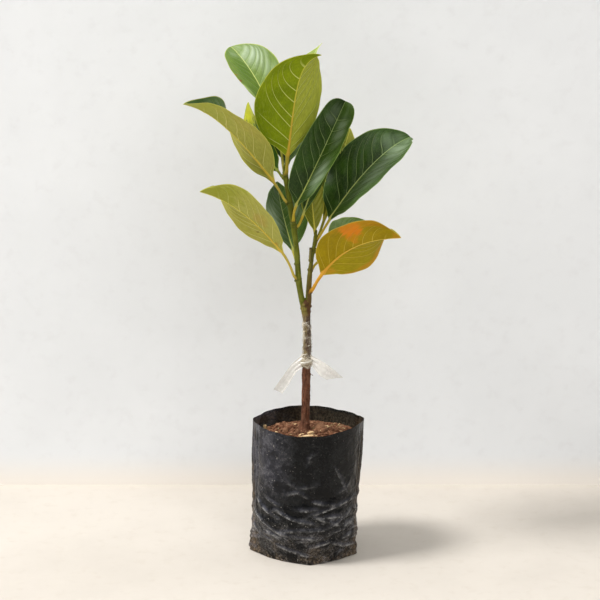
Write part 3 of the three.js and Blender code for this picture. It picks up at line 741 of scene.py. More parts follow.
def leaf_mesh(leaf, template, sizes, draw):
    """Shapes one copy of the blank into a leaf, from the foot of its stalk to its tip."""
    piece = template.copy()
    piece.data = template.data.copy()
    bpy.context.scene.collection.objects.link(piece)
    rows, at = vein_rows(draw)
    total = STALK_ROWS + len(rows) - 1
    row, column = grid_of(piece, LEAF_COLUMNS, total)
    on_stalk = row < STALK_ROWS
    blade_row = np.clip(row - STALK_ROWS, 0, len(rows) - 1)
    start = np.where(on_stalk, row / STALK_ROWS - 1, at[blade_row])
    vein_row = np.where(on_stalk, 0.5, rows[blade_row])
    side, face, count, outward = leaf_columns(column)
    along = np.where(on_stalk, start, swept(start, side, outward, leaf))
    place, forward, upper = on_spine(leaf_spine(leaf), along)
    right = np.cross(forward, upper)
    blade = smooth(-0.05, 0.12, along)
    inside = np.clip(along, 0, 1)
    half = half_width(inside, leaf)
    for edge, at_nick, depth, spread in leaf["nicks"]:
        half = half - depth * np.exp(-((inside - at_nick) / spread) ** 2) * (side * edge > 0)
    half = np.maximum(half, np.maximum(NECK_RADIUS * (1 - inside), TIP_HALF_WIDTH))
    rib = mix(sizes.midrib_width / MM / 2, 0.35, inside ** 0.8)
    rib_width = np.minimum(rib, 0.3 * half)
    near = np.array(RIB_COLUMNS)[np.minimum(count, len(RIB_COLUMNS) - 1)] * rib_width
    far = RIB_COLUMNS[-1] * rib_width
    reached = np.where(count < len(RIB_COLUMNS), near, mix(far, half, outward))
    share = reached / half

    # Thickness, midrib, vein ridges, quilting and a gently waved margin.
    lamina = sizes.blade_thickness / MM
    thick = np.minimum(lamina, half) * np.sqrt(np.maximum(0, 1 - share ** 6))
    off_vein = np.abs(vein_row - np.rint(vein_row))
    vein = np.exp(-(off_vein / VEIN_RIDGE) ** 2) * (1 - smooth(0.75, 1, share)) * smooth(0.02, 0.09, along)
    between = np.sin(math.pi * np.clip(share, 0, 1)) ** 0.7 * np.minimum(1, half / 15)
    quilt = -sizes.quilting / MM * np.cos(2 * math.pi * vein_row) * between * blade
    phase = draw.uniform(0, 1)
    swing = 2 * math.pi * (along * leaf["length"] / WAVE_LENGTH + phase + 0.37 * side)
    wave = leaf["wave"] * (np.sin(swing) + 0.4 * np.sin(2.3 * swing + 1))
    wave = wave * share ** 3 * np.minimum(1, half / 18)
    profile = np.sqrt(np.maximum(0, 1 - (reached / (rib_width * 1.1)) ** 2))
    rib_depth = mix(1.7, 0.25, inside ** 0.7) * np.minimum(1, half / 6)
    lift = quilt + wave * blade + face * thick / 2
    lift = lift - np.where(face < 0, profile * rib_depth + sizes.vein_relief / MM * vein, 0)
    lift = lift - np.where(face > 0, 0.25 * profile * (1 - inside) + 0.12 * vein, 0)

    fold = np.radians(np.minimum(leaf["fold"] + leaf["tip_fold"] * inside ** 3, MOST_FOLD))
    across = side * (reached * np.cos(fold) - lift * np.sin(fold) * share ** 0.5)
    height = reached * np.sin(fold) + lift * np.cos(fold * share ** 0.5)
    angle = math.pi * (1 - 2 * column / LEAF_COLUMNS)
    stalk_radius = leaf["stalk_radius"] * (
        1 + 0.3 * (1 - smooth(-1, -0.8, along)) - 0.12 * np.exp(-((along + 0.5) / 0.25) ** 2)
    )
    round_across = np.cos(angle) * stalk_radius
    round_height = np.sin(angle) * stalk_radius * 0.95

    # The foot runs down into the shoot.
    sunk = 1 - smooth(-1, -0.84, along)
    depth = limb_straight(leaf["shoot"], leaf["z"], "across") + FOOT_REACH - 1
    inwards = -heading(leaf["start_bearing"], 0) * depth
    place = place + sunk[:, None] * (inwards + (0, 0, -2.5))
    points = (
        place + right * mix(round_across, across, blade)[:, None]
        + upper * mix(round_height, height, blade)[:, None]
    )
    set_points(piece, points)

    write_attribute(piece, "vein_row", vein_row)
    write_attribute(piece, "across", side * share)
    write_attribute(piece, "along", along)
    write_attribute(piece, "rib", mix(0, reached / rib, blade))
    write_attribute(piece, "half", half)
    lay_surface(piece, side * reached / SURFACE_SPAN + 0.5, along * leaf["length"] / SURFACE_SPAN + 0.2)
    colour_sides(piece, column)
    smooth_shading(piece, 55)
    return piece


def lay_surface(piece, across, along):
    """Writes the leaf's own UV map."""
    layer = piece.data.uv_layers.new(name="Surface")
    corners = np.empty(len(piece.data.loops), dtype=int)
    piece.data.loops.foreach_get("vertex_index", corners)
    layer.data.foreach_set("uv", np.stack([across[corners], along[corners]], axis=1).ravel())


def colour_sides(piece, column):
    """Material 0 on the upper side, 1 on the under side."""
    for face in piece.data.polygons:
        top = max(column[corner] for corner in face.vertices)
        face.material_index = 0 if top <= 2 * HALF_COLUMNS else 1


def leaf_finish(name, look, side, marks):
    """Green blade with a pale midrib, side veins, fine net and margin, with a painted sheen over the half on
    the viewer's right and in the sheen marks, and painted shade beside the veins.
    """
    upper = side == "upper"
    finish = Finish(name, Specular_IOR_Level=0.26 if upper else 0.1)
    sheet = finish.surface()
    signed = finish.read("across")
    across = finish.math("ABSOLUTE", signed)
    along = finish.read("along")
    rib = finish.read("rib")
    drift = finish.speckle(finish.place(), 38, 3)
    fine = finish.speckle(sheet, 90, 4)

    first, second = look[side]
    finish.colour = finish.blend(finish.span(drift, 0.35, 0.65), first, second)
    # Painted sheen: the half on the viewer's right drifts to the side's pale colour.
    seen = signed if upper else finish.times(signed, -1)
    pale = finish.times(finish.span(seen, -0.04, 0.1), finish.span(fine, 0.2, 0.9, 0.6, 0.95))
    finish.paint(pale, look[side + "_pale"])
    net = finish.span(finish.cells(sheet, 95), 0, 0.1, 1, 0)
    finish.paint(finish.times(net, 0.1), look["vein"])
    shade = finish.span(fine, 0.3, 0.75, 0.86, 1.1)
    grey = finish.node("ShaderNodeCombineColor", Red=shade, Green=shade, Blue=shade)
    finish.paint(1, grey.outputs[0], "MULTIPLY")

    off_vein = finish.math("PINGPONG", finish.read("vein_row"), 0.5)
    width = finish.span(across, 0, 1, 0.042 if upper else 0.056, 0.02)
    vein = finish.span(off_vein, finish.times(width, 0.35), width, 1, 0)
    vein = finish.times(vein, finish.span(across, 0.7, 0.97, 1, 0))
    vein = finish.times(vein, finish.span(along, 0.02, 0.08), finish.span(along, 0.76, 0.9, 1, 0))
    # Painted shade in the grooves beside the veins, in the blade's first colour.
    beside = finish.span(off_vein, width, 0.17, 0.45, 0)
    beside = finish.times(beside, finish.span(across, 0.6, 0.97, 1, 0))
    finish.paint(beside, first)
    vein = finish.times(vein, 0.66 if upper else 0.95)
    finish.paint(vein, look["vein"])

    spots = [mark[1:] for mark in marks if mark[0] == side]
    for number, (at_across, at_along, reach_across, reach_along, tint, strength) in enumerate(spots):
        x = finish.math("DIVIDE", finish.math("SUBTRACT", signed, at_across), reach_across)
        y = finish.math("DIVIDE", finish.math("SUBTRACT", along, at_along), reach_along)
        distance = finish.math("SQRT", finish.plus(finish.math("POWER", x, 2), finish.math("POWER", y, 2)))
        ragged = finish.speckle(finish.stretch(sheet, (1, 1, 1), (number * 3.1, 0, 0)), 26, 5, 0.65)
        # Painted sheen marks get soft edges and are strongest between the veins.
        soft = tint == SHEEN
        rag = 0.25 if soft else 0.5
        distance = finish.plus(distance, finish.span(ragged, 0.2, 0.8, -rag, rag))
        spread = finish.span(distance, 0.1 if soft else 0.55, 1.2, strength, 0)
        if soft:
            spread = finish.times(spread, finish.span(off_vein, 0.05, 0.3, 0.6, 1.15))
        finish.paint(spread, tint)

    edge = finish.times(finish.math("SUBTRACT", 1, across), finish.read("half"))
    finish.paint(finish.span(edge, 0.3, 1.1, 0.85, 0), look["rim"])
    base, tip = look["rib"]
    rib_colour = finish.blend(finish.span(along, 0.05, 0.75), base, tip)
    rib_colour = finish.blend(finish.span(along, -0.2, 0.12, 1, 0), rib_colour, look["stalk"])
    foot = finish.span(along, -0.98, -0.86, 0.75, 0)
    rib_colour = finish.blend(foot, rib_colour, "#7d5a2e")
    narrow = (0.35, 0.75) if upper else (0.75, 1.15)
    finish.paint(finish.span(rib, *narrow, 1, 0), rib_colour)

    finish.set(Roughness=finish.span(fine, 0.3, 0.7, *((0.34, 0.48) if upper else (0.48, 0.62))))
    relief = finish.bump(finish.times(net, -1 if upper else 1), 0.22, 0.0002)
    relief = finish.bump(finish.speckle(sheet, 240, 2), 0.12, 0.0002, relief)
    relief = finish.bump(vein, 0.35, -0.0002 if upper else 0.0003, relief)
    return finish.done(relief)


class LeafSizes(PropertyGroup):
    blade_thickness: FloatProperty(
        name="Blade thickness", description="Thickness of the blade between the veins", default=0.00045,
        unit="LENGTH",
    )
    midrib_width: FloatProperty(
        name="Midrib width", description="Width of the midrib at the blade's base", default=0.0037,
        unit="LENGTH",
    )
    vein_relief: FloatProperty(
        name="Vein relief", description="How far side veins stand out below", default=0.00032, unit="LENGTH"
    )
    quilting: FloatProperty(
        name="Quilting", description="How far the blade bulges between veins", default=0.0003, unit="LENGTH"
    )
    seed: IntProperty(name="Seed", description="Draws the margins and the veins' places", default=7)


class CASHEW_OT_leaves(Operator):
    """Model every leaf with its stalk, one piece each"""

    bl_idname = "cashew.leaves"
    bl_label = "Leaves"

    def execute(self, context):
        sizes = context.scene.cashew_leaf
        draw = random.Random(sizes.seed)
        rows = STALK_ROWS + len(BASE_ROWS) + VEINS * len(VEIN_STEPS) + len(TIP_ROWS) - 1
        template = blank_tube("leaf_blank", LEAF_COLUMNS, rows)
        for name, spec in LEAVES.items():
            leaf = {**LEAF_DEFAULTS, **spec}
            piece = leaf_mesh(leaf, template, sizes, draw)
            look, marks = LOOKS[leaf["look"]], MARKS.get(name, ())
            for side in ("upper", "under"):
                piece.data.materials.append(leaf_finish(f"{name}_{side}_side", look, side, marks))
            keep(piece, f"fine_{name}", "young_leaf" if name in YOUNG else "mature_leaf", name)
        bpy.data.objects.remove(template)
        return {"FINISHED"}


# Stems

TRUNK_KNOBS = [  # height, bearing, radius, how far out
    (301.5, -8, 2.2, -0.4), (295.5, -25, 2, -0.5), (299, 185, 1.9, -0.9), (304, -100, 2.2, -0.9),
    (219.5, -25, 1.1, 0.3), (196, 60, 1.5, -0.5), (187, -130, 1.2, -0.5), (170, 20, 1.5, -0.4),
    (176, 205, 1.3, -0.5), (208, 120, 1.3, -0.5), (159, -60, 1.6, -0.6), (215, 262, 1.0, -0.3),
]
TWIG = (219, 0)  # height and bearing of the short broken twig on the rootstock
TWIG_REACH = (5, -0.5, -1.6)
TWIG_SUNK = 1.5
TWIG_COLUMNS = 12
TWIG_ROWS = 6
MAIN_NODES = (334, 352, 396, 403, 425, 446, 456)
SIDE_NODES = (320, 345, 368, 379)
FORK = (287, 298)  # the bark turns olive between these heights
UNDER_FILM = (FILM_BOTTOM, FILM_BOTTOM + 12, FILM_TOP - 3.5, FILM_TOP + 10.5)  # from, fully, until, gone
SOILED = (150, 160)  # soil clings to the bark below these heights
SHOOTS_START = (299, 307)  # the shoots are brown below these heights
SIDE_BROWN = (305, 372)  # the side shoot turns from brown to green between these heights
SIDE_FROM_X = (3.5, 5.5)  # what lies further right is the side shoot
CUT_FACE = (369, 371.6)  # the dry cut begins between these heights


def limb_skin(stations, z, turn, y=0.0):
    """Points on a limb's plain skin, at heights z and turned round its middle."""
    x = limb_value(stations, z, "x") + np.cos(turn) * limb_value(stations, z, "across")
    return stacked(x, y + np.sin(turn) * limb_value(stations, z, "deep"), z)


def limb_mesh(name, stations, columns, rows, y=0.0):
    """A limb's plain skin, closed at both ends."""
    piece = blank_tube(name, columns, rows)
    row, column = grid_of(piece, columns, rows)
    z = mix(stations[0][1], stations[-1][1], row / rows)
    set_points(piece, limb_skin(stations, z, 2 * math.pi * column / columns, y))
    return piece


def knob(stations, z, bearing, radius, out=0.0, squash=1.0, y=0.0):
    """A small rounded swelling on a limb's side."""
    deselect()
    bpy.ops.mesh.primitive_ico_sphere_add(subdivisions=2, radius=1)
    piece = bpy.context.object
    middle = heading(bearing, 0) * (limb_straight(stations, z, "across") + out)
    middle += (limb_straight(stations, z, "x"), y, z)
    set_points(piece, points_of(piece) * (radius, radius, radius * squash) + middle)
    return piece


def fuse(pieces, voxel, rounds):
    """Joins solids that run into each other into one skin, and rounds it a little."""
    piece = join(pieces)
    apply_modifier(piece, "REMESH", mode="VOXEL", voxel_size=voxel, use_smooth_shade=True)
    apply_modifier(piece, "SMOOTH", factor=0.5, iterations=rounds)
    return piece


def roughen(piece, scale, depth, lengthwise):
    """Pushes the skin in and out along its normals by noise, stretched along the height."""
    points = points_of(piece) / MM
    flat = np.empty(len(points) * 3)
    piece.data.vertices.foreach_get("normal", flat)
    values = rumple(points * (1, 1, 1 / lengthwise), scale)
    pushed = points + flat.reshape(-1, 3) * values[:, None] * depth
    piece.data.vertices.foreach_set("co", (pushed * MM).ravel())
    piece.data.update()


def ring_marks(piece, stations, heights, spread):
    """How close each point is to one of a limb's nodes, from 0 to 1."""
    points = points_of(piece) / MM
    near = np.zeros(len(points))
    for z in heights:
        level = z + 0.25 * (points[:, 0] - limb_straight(stations, z, "x"))
        near = np.maximum(near, np.exp(-((points[:, 2] - level) / spread) ** 2))
    return near


def bark_finish():
    """Reddish-brown bark, grey-brown under the film with painted light on its left and painted shade on its
    right, with pores and lengthwise fissures.
    """
    finish = Finish("rootstock_bark", Roughness=0.8, Specular_IOR_Level=0.2)
    place = finish.place()
    height = finish.measure("Z")
    across = finish.measure("X")
    lengthwise = finish.stretch(place, (1, 1, 0.22))
    streak = finish.speckle(lengthwise, 520, 5, 0.65)
    patch = finish.speckle(place, 95, 4)
    pores = finish.cells(finish.stretch(place, (1, 1, 1.5)), 330, "F1")
    finish.colour = finish.blend(finish.span(streak, 0.3, 0.7), "#43291d", "#7a4e3a")
    finish.paint(finish.span(patch, 0.45, 0.7, 0, 0.5), "#85604b")
    finish.paint(finish.span(pores, 0.1, 0.2, 0.5, 0), "#a4866c")

    # Under the film the bark is pale olive on the left and dark on the right, painted light on the left and
    # painted shade on the right, mixed with the bark's own dark streaks.
    wrapped = finish.times(finish.span(height, *UNDER_FILM[:2]), finish.span(height, *UNDER_FILM[2:], 1, 0))
    side = finish.plus(across, finish.span(patch, 0.25, 0.75, -3, 3))
    under_film = finish.blend(finish.span(side, 2, 5.5), "#8d7f58", "#4a382c")
    under_film = finish.blend(finish.span(streak, 0.4, 0.65, 0.5, 0), under_film, "#3c2e22")
    finish.paint(finish.times(wrapped, 0.9), under_film)
    fork = finish.blend(finish.span(side, 1, 4), "#8a8440", "#5b4228")
    fork = finish.blend(finish.span(streak, 0.45, 0.7, 0, 0.6), fork, "#43311c")
    finish.paint(finish.span(height, *FORK, 0, 0.9), fork)
    dark = finish.times(finish.read("node"), 0.35)
    finish.paint(dark, "#3a2412")
    soiled = finish.times(finish.span(height, *SOILED, 1, 0), finish.span(patch, 0.35, 0.6))
    finish.paint(finish.times(soiled, 0.6), "#6b4a36")
    relief = finish.bump(streak, 0.5, 0.0006)
    return finish.done(finish.bump(finish.span(pores, 0.08, 0.2, 1, 0), 0.3, 0.0003, relief))


def shoot_finish():
    """Smooth olive-green bark, browner at the nodes and at the side shoot's foot."""
    finish = Finish("green_shoot_bark", Roughness=0.55, Specular_IOR_Level=0.2)
    place = finish.place()
    height = finish.measure("Z")
    streak = finish.speckle(finish.stretch(place, (1, 1, 0.15)), 430, 4, 0.6)
    patch = finish.speckle(place, 70, 4)
    finish.colour = finish.blend(finish.span(streak, 0.3, 0.7), "#4d5510", "#6f7420")
    finish.paint(finish.span(patch, 0.5, 0.75, 0, 0.5), "#82843a")
    brown = finish.blend(streak, "#4f3a1c", "#6e572b")
    low = finish.span(height, *SIDE_BROWN, 0.95, 0.15)
    on_side = finish.span(finish.measure("X"), *SIDE_FROM_X)
    finish.paint(finish.times(low, on_side), brown)
    finish.paint(finish.span(height, *SHOOTS_START, 0.9, 0), brown)
    finish.paint(finish.times(finish.read("node"), 0.4), "#3a2f12")
    flecks = finish.cells(finish.stretch(place, (1, 1, 0.6)), 380, "F1")
    finish.paint(finish.span(flecks, 0.08, 0.16, 0.4, 0), "#a9a468")
    return finish.done(finish.bump(streak, 0.3, 0.0004))


def stub_finish():
    """Dull olive bark with a dark dry cut on top."""
    finish = Finish("cut_stub_bark", Roughness=0.75)
    place = finish.place()
    height = finish.measure("Z")
    streak = finish.speckle(finish.stretch(place, (1, 1, 0.3)), 600, 4, 0.6)
    finish.colour = finish.blend(streak, "#55501f", "#8a8240")
    finish.paint(finish.span(height, *CUT_FACE, 0, 0.9), "#3b2c18")
    return finish.done(finish.bump(streak, 0.4, 0.0004))


class StemSizes(PropertyGroup):
    skin_grain: FloatProperty(
        name="Skin grain", description="Mesh size of the stems' skin", default=0.00055, unit="LENGTH"
    )
    bark_relief: FloatProperty(
        name="Bark relief", description="Depth of the rootstock's fissures", default=0.0005, unit="LENGTH"
    )


def twig_mesh():
    """The short broken twig, with its foot inside the rootstock."""
    height, bearing = TWIG
    twig = blank_tube("twig", TWIG_COLUMNS, TWIG_ROWS)
    row, column = grid_of(twig, TWIG_COLUMNS, TWIG_ROWS)
    foot = heading(bearing, 0) * (limb_straight(TRUNK, height, "across") - TWIG_SUNK)
    foot = foot + (limb_straight(TRUNK, height, "x"), 0, height)
    turn = 2 * math.pi * column / TWIG_COLUMNS
    thin = mix(0.95, 0.45, row / TWIG_ROWS)
    ring = stacked(0 * turn, np.cos(turn) * thin, np.sin(turn) * thin)
    set_points(twig, foot + (row / TWIG_ROWS)[:, None] * TWIG_REACH + ring)
    return twig


def rootstock(sizes):
    """The trunk with its swellings, its twig and its fissured bark."""
    body = limb_mesh("trunk_body", TRUNK, 40, 96)
    bumps = [knob(TRUNK, z, bearing, radius, out) for z, bearing, radius, out in TRUNK_KNOBS]
    trunk = fuse([body, *bumps, twig_mesh()], sizes.skin_grain, 3)
    relief = sizes.bark_relief / MM
    for scale, depth, lengthwise in ((0.42, relief, 4.5), (1.1, 0.45 * relief, 2.5), (0.12, 0.35, 1.5)):
        roughen(trunk, scale, depth, lengthwise)
    write_attribute(trunk, "node", ring_marks(trunk, TRUNK, (296.5, 303.5), 1.1))
    trunk.data.materials.append(bark_finish())
    keep(trunk, "rootstock", "bark", "trunk")


def green_shoots(sizes):
    """Both shoots in one skin, with a swelling under every leaf and at every node."""
    parts = [limb_mesh("main_body", MAIN_SHOOT, 32, 96), limb_mesh("side_body", SIDE_SHOOT, 32, 60)]
    for leaf in LEAVES.values():
        parts.append(knob(leaf["shoot"], leaf["z"] - 1.5, leaf["start_bearing"], 2.5, -0.5, 0.9))
        parts.append(knob(leaf["shoot"], leaf["z"] + 2.2, leaf["start_bearing"], 1.1, 0.1, 1.3))
    for stations, heights in ((MAIN_SHOOT, MAIN_NODES), (SIDE_SHOOT, SIDE_NODES)):
        for i, z in enumerate(heights):
            parts.append(knob(stations, z, 137 * i + 40, 1.8, -0.7))
    parts.append(knob(MAIN_SHOOT, 466, 200, 1.9, -0.6, 2.2))
    parts.append(knob(SIDE_SHOOT, 390, 60, 1.5, -0.4, 2.2))
    shoots = fuse(parts, sizes.skin_grain, 3)
    roughen(shoots, 0.5, 0.14, 3)
    x = points_of(shoots)[:, 0] / MM
    near = np.maximum(
        ring_marks(shoots, MAIN_SHOOT, MAIN_NODES, 0.9) * (x < 2),
        ring_marks(shoots, SIDE_SHOOT, SIDE_NODES, 0.9) * (x > 4),
    )
    write_attribute(shoots, "node", near)
    shoots.data.materials.append(shoot_finish())
    keep(shoots, "green_shoots", "green_bark", "main_shoot", "side_shoot")


def pruned_stub():
    """The cut tip beside the side shoot, with the collar that it grows from."""
    body = limb_mesh("stub_body", CUT_STUB, 20, 24, STUB_Y)
    collar = knob(CUT_STUB, 357, 90, 1.7, -0.4, 1.2, STUB_Y)
    stub = fuse([body, collar], 0.0003, 2)
    roughen(stub, 0.9, 0.18, 2)
    stub.data.materials.append(stub_finish())
    keep(stub, "pruned_stub", "bark", "cut_stub")


class CASHEW_OT_stems(Operator):
    """Model the rootstock, the two green shoots and the pruned stub"""

    bl_idname = "cashew.stems"
    bl_label = "Stems"

    def execute(self, context):
        sizes = context.scene.cashew_stem
        rootstock(sizes)
        green_shoots(sizes)
        pruned_stub()
        return {"FINISHED"}


# Film round the graft

SLEEVE_COLUMNS = 72
SLEEVE_ROWS = 96
FILM_GAP = 0.45  # from the rootstock's skin to the film
KNOT_REACH = 7  # how far up and down the film is gathered
BUNCH_BEARING = 215
BUNCH_OUT = 1.9
WHITE_FILM = (246, 238)  # heights: plain at the first, whitest at the second
CLEAR_FILM = (280, 289)  # heights: plain at the first, clearest at the second
TAIL_COLUMNS = 36
TAIL_ROWS = 64
TAILS = {  # upper and lower edge of each loose end, from the knot outwards: x, y, z
    "film_end_left": (
        [(-0.5, -4.5, 243.5), (-13.8, -6.5, 232), (-24.6, -7, 217), (-34.8, -6, 201.8)],
        [(-0.5, -5.5, 229), (-8, -6, 222.8), (-16.6, -5.5, 208), (-24.5, -5, 196.5)],
    ),
    "film_end_right": (
        [(8.5, -3.5, 243), (21, -6, 237), (33.5, -7.5, 228.6), (47, -6, 216.2)],
        [(9.5, -3, 231.5), (15.8, -5, 223.5), (20.5, -6.5, 218.2), (28, -5, 213.6)],
    ),
}


def film_finish(name, alpha_low, alpha_high, wound=False):
    """Clear film that turns whitish where it is creased or lies double, and on the wound film a painted glint
    on the left side.
    """
    finish = Finish(name, Roughness=0.24, IOR=1.5)
    tints = ("#c4b79c", "#e3dccb") if wound else ("#f4f2eb", "#fcfaf6")
    place = finish.place()
    crinkle = finish.speckle(place, 170, 5, 0.6, 1.2)
    fold = finish.read("fold")
    finish.colour = finish.blend(finish.span(crinkle, 0.35, 0.65), *tints)
    finish.paint(finish.span(fold, 0.5, 1), "#f6f3ea")
    haze = finish.plus(finish.span(crinkle, 0.42, 0.72, 0, 0.5), finish.span(fold, 0.35, 1, 0, 0.75))
    if wound:
        # Whiter on the left, a painted glint where the light falls, whiter towards the knot, and clearer at
        # the top.
        height = finish.measure("Z")
        left = finish.span(finish.measure("X"), 3.5, 0, 0, 0.35)
        haze = finish.plus(haze, finish.times(left, finish.span(crinkle, 0.35, 0.6)))
        haze = finish.plus(haze, finish.span(height, *WHITE_FILM, 0, 0.5))
        haze = finish.math("SUBTRACT", haze, finish.span(height, *CLEAR_FILM, 0, 0.5))
    finish.set(Alpha=finish.span(haze, 0, 1.1, alpha_low, alpha_high))
    return finish.done(finish.bump(crinkle, 0.5 if wound else 0.22, 0.0009))


def film_swell(z):
    """How far the film stands out at its knot and its bands."""
    height, swell, spread = FILM_KNOT
    total = swell * np.exp(-((z - height) / spread) ** 2)
    for height, swell, spread in FILM_BANDS:
        total = total + swell * np.exp(-((z - height) / spread) ** 2)
    return total


def along_edge(points, along):
    """A smooth line through a loose end's edge points."""
    table = np.array(points, dtype=float)
    knots = np.linspace(0, 1, len(table))
    slopes = np.gradient(table, knots, axis=0)
    i = np.clip(np.searchsorted(knots, along, side="right") - 1, 0, len(knots) - 2)
    width = (knots[i + 1] - knots[i])[:, None]
    share = (along - knots[i])[:, None] / width
    return curve(table[i], table[i + 1], slopes[i] * width, slopes[i + 1] * width, share)


def blank_sheet(name, columns, rows):
    """A flat grid whose points lie at 0 to 1 across and along."""
    deselect()
    bpy.ops.mesh.primitive_grid_add(
        x_subdivisions=columns, y_subdivisions=rows, size=1, location=(0.5, 0.5, 0)
    )
    piece = bpy.context.object
    piece.name = name
    bpy.ops.object.transform_apply(location=True, rotation=True, scale=True)
    return piece


def wound_sleeve(thickness):
    """Slanted turns of film round the graft, gathered into a knot low down."""
    sleeve = blank_tube("sleeve", SLEEVE_COLUMNS, SLEEVE_ROWS, "NOTHING")
    row, column = grid_of(sleeve, SLEEVE_COLUMNS, SLEEVE_ROWS)
    z = mix(FILM_BOTTOM, FILM_TOP, row / SLEEVE_ROWS)
    turn = 2 * math.pi * column / SLEEVE_COLUMNS
    ring = stacked(np.cos(turn), np.sin(turn), 0 * turn)
    wound = z / FILM_PITCH - column / SLEEVE_COLUMNS
    lap = wound - np.floor(wound)
    skin = limb_skin(TRUNK, z, turn)
    slanted = stacked(skin[:, 0], skin[:, 1], z * 2.2 - 3 * turn)
    wrinkle = ridges(slanted, 0.16) * 0.75 + rumple(skin, 0.3) * 0.3
    knotted = np.exp(-((z - FILM_KNOT[0]) / KNOT_REACH) ** 2)
    bunch = knotted * np.exp(-((np.cos(turn - math.radians(BUNCH_BEARING)) - 1) / 0.3) ** 2)
    tuck = knotted * 0.8 * np.abs(np.sin(z * 1.3 + 2 * np.sin(turn)))
    out = FILM_GAP + film_swell(z) + FILM_LAP * lap + wrinkle * mix(0.5, 1, knotted)
    out = out + BUNCH_OUT * bunch + tuck
    points = skin + ring * out[:, None]
    points[:, 2] += 1.2 * np.sin(2 * turn + 1) * (row == 0) - 0.8 * np.sin(turn) * (row == SLEEVE_ROWS)
    set_points(sleeve, points)
    edge = np.exp(-(lap / 0.12) ** 2) + np.exp(-((1 - lap) / 0.05) ** 2)
    write_attribute(sleeve, "fold", np.clip(0.75 * edge + 0.55 * knotted + 0.35 * (wrinkle - 0.3), 0, 1))
    apply_modifier(sleeve, "SOLIDIFY", thickness=thickness, offset=1)
    sleeve.data.materials.append(film_finish("wound_film", 0.03, 0.66, True))
    smooth_shading(sleeve, 70)
    keep(sleeve, "wound_film", "clear_film", "graft_film")


def loose_end(name, upper, lower, thickness):
    """A strip between its upper and its lower edge, gathered where it leaves the knot."""
    tail = blank_sheet(name, TAIL_COLUMNS, TAIL_ROWS)
    start = points_of(tail)
    across, along = start[:, 0], start[:, 1]
    body = mix(along_edge(upper, along), along_edge(lower, along), across[:, None])
    gathered = 1 - smooth(0, 0.45, along)
    pleat = np.sin(across * math.pi * 5 + 2 * along) * mix(0.12, 0.9, gathered)
    sag = 1.6 * np.sin(math.pi * across) * along
    crease = ridges(body, 0.07, 2) * 0.7
    body[:, 1] += pleat + sag - crease
    set_points(tail, body)
    rim = np.exp(-(across / 0.04) ** 2) + np.exp(-((1 - across) / 0.04) ** 2)
    rim += np.exp(-((1 - along) / 0.02) ** 2)
    write_attribute(tail, "fold", np.clip(0.35 * rim + 0.6 * gathered ** 2 + 0.25 * crease, 0, 1))
    apply_modifier(tail, "SOLIDIFY", thickness=thickness, offset=0)
    tail.data.materials.append(film_finish(f"{name}_film", 0.4, 0.72))
    smooth_shading(tail, 60)
    keep(tail, f"fine_{name}", "clear_film", name)


class FilmSizes(PropertyGroup):
    film_thickness: FloatProperty(
        name="Film thickness", description="Thickness of the clear film", default=0.00016, unit="LENGTH"
    )


class CASHEW_OT_graft_film(Operator):
    """Model the clear film wound round the graft and its two loose ends"""

    bl_idname = "cashew.graft_film"
    bl_label = "Graft Film"

    def execute(self, context):
        thickness = context.scene.cashew_film.film_thickness
        wound_sleeve(thickness)
        for name, (upper, lower) in TAILS.items():
            loose_end(name, upper, lower, thickness)
        return {"FINISHED"}


# Nursery bag

BAG_COLUMNS = 336
BAG_BOTTOM_ROWS = 10
BAG_WALL_ROWS = 150
BAG_INNER_ROWS = 28
BAG_INNER_DEPTH = 44
CREASES = [  # points as bearing and height, then how far the ridge stands out and its width
    ([(-164, 77), (-148, 70), (-134, 61), (-122, 57)], 2, 1.5),
    ([(-136, 78), (-121, 73)], 2, 1.3),
    ([(-123, 66), (-105, 58), (-84, 53)], 2.6, 1.6),
    ([(-100, 69), (-80, 70)], 2.2, 2),
    ([(-84, 63), (-67, 68), (-45, 74), (-20, 76)], 2, 1.4),
    ([(-78, 60), (-49, 46)], 2.4, 1.6),
    ([(-81, 79), (-53, 71)], 1.8, 1.8),
    ([(-118, 40), (-95, 44), (-66, 44)], 2.3, 1.8),
    ([(-140, 46), (-118, 37), (-100, 36)], 2, 1.6),
    ([(-104, 34), (-72, 33)], 2, 1.7),
    ([(-97, 28), (-80, 31)], 1.7, 1.7),
    ([(-82, 22), (-60, 26)], 1.8, 1.7),
    ([(-88, 128), (-87, 135), (-82, 139)], 0.9, 1.2),
    ([(-112, 104), (-98, 96), (-78, 101)], 0.9, 2),
    ([(-60, 118), (-48, 96), (-40, 84)], 1, 2.2),
    ([(-126, 20), (-104, 14), (-86, 10)], 1.8, 1.7),
    ([(-55, 24), (-36, 16), (-20, 14)], 1.8, 1.7),
    ([(-110, 88), (-99, 92), (-90, 86)], 1.2, 1.6),
    ([(-52, 88), (-42, 92), (-36, 100)], 1, 1.5),
]
SIDE_PLEATS = [  # bearing, depth
    (-173, 1.3), (-165, 1.1), (-158, 0.7), (-6, 1.2), (-13, 1.1), (-21, 0.8), (3, 0.9), (172, 1), (84, 1.1),
    (93, 1.2), (101, 0.8), (40, 0.6), (138, 0.7),
]
EARS = [  # bearing, height, how far out, reach round and reach up
    (-11, 31, 2.6, 6, 6), (-178, 12, 1, 6, 6), (-14, 12, 1.6, 5, 4), (86, 8, 1.6, 6, 6),
]
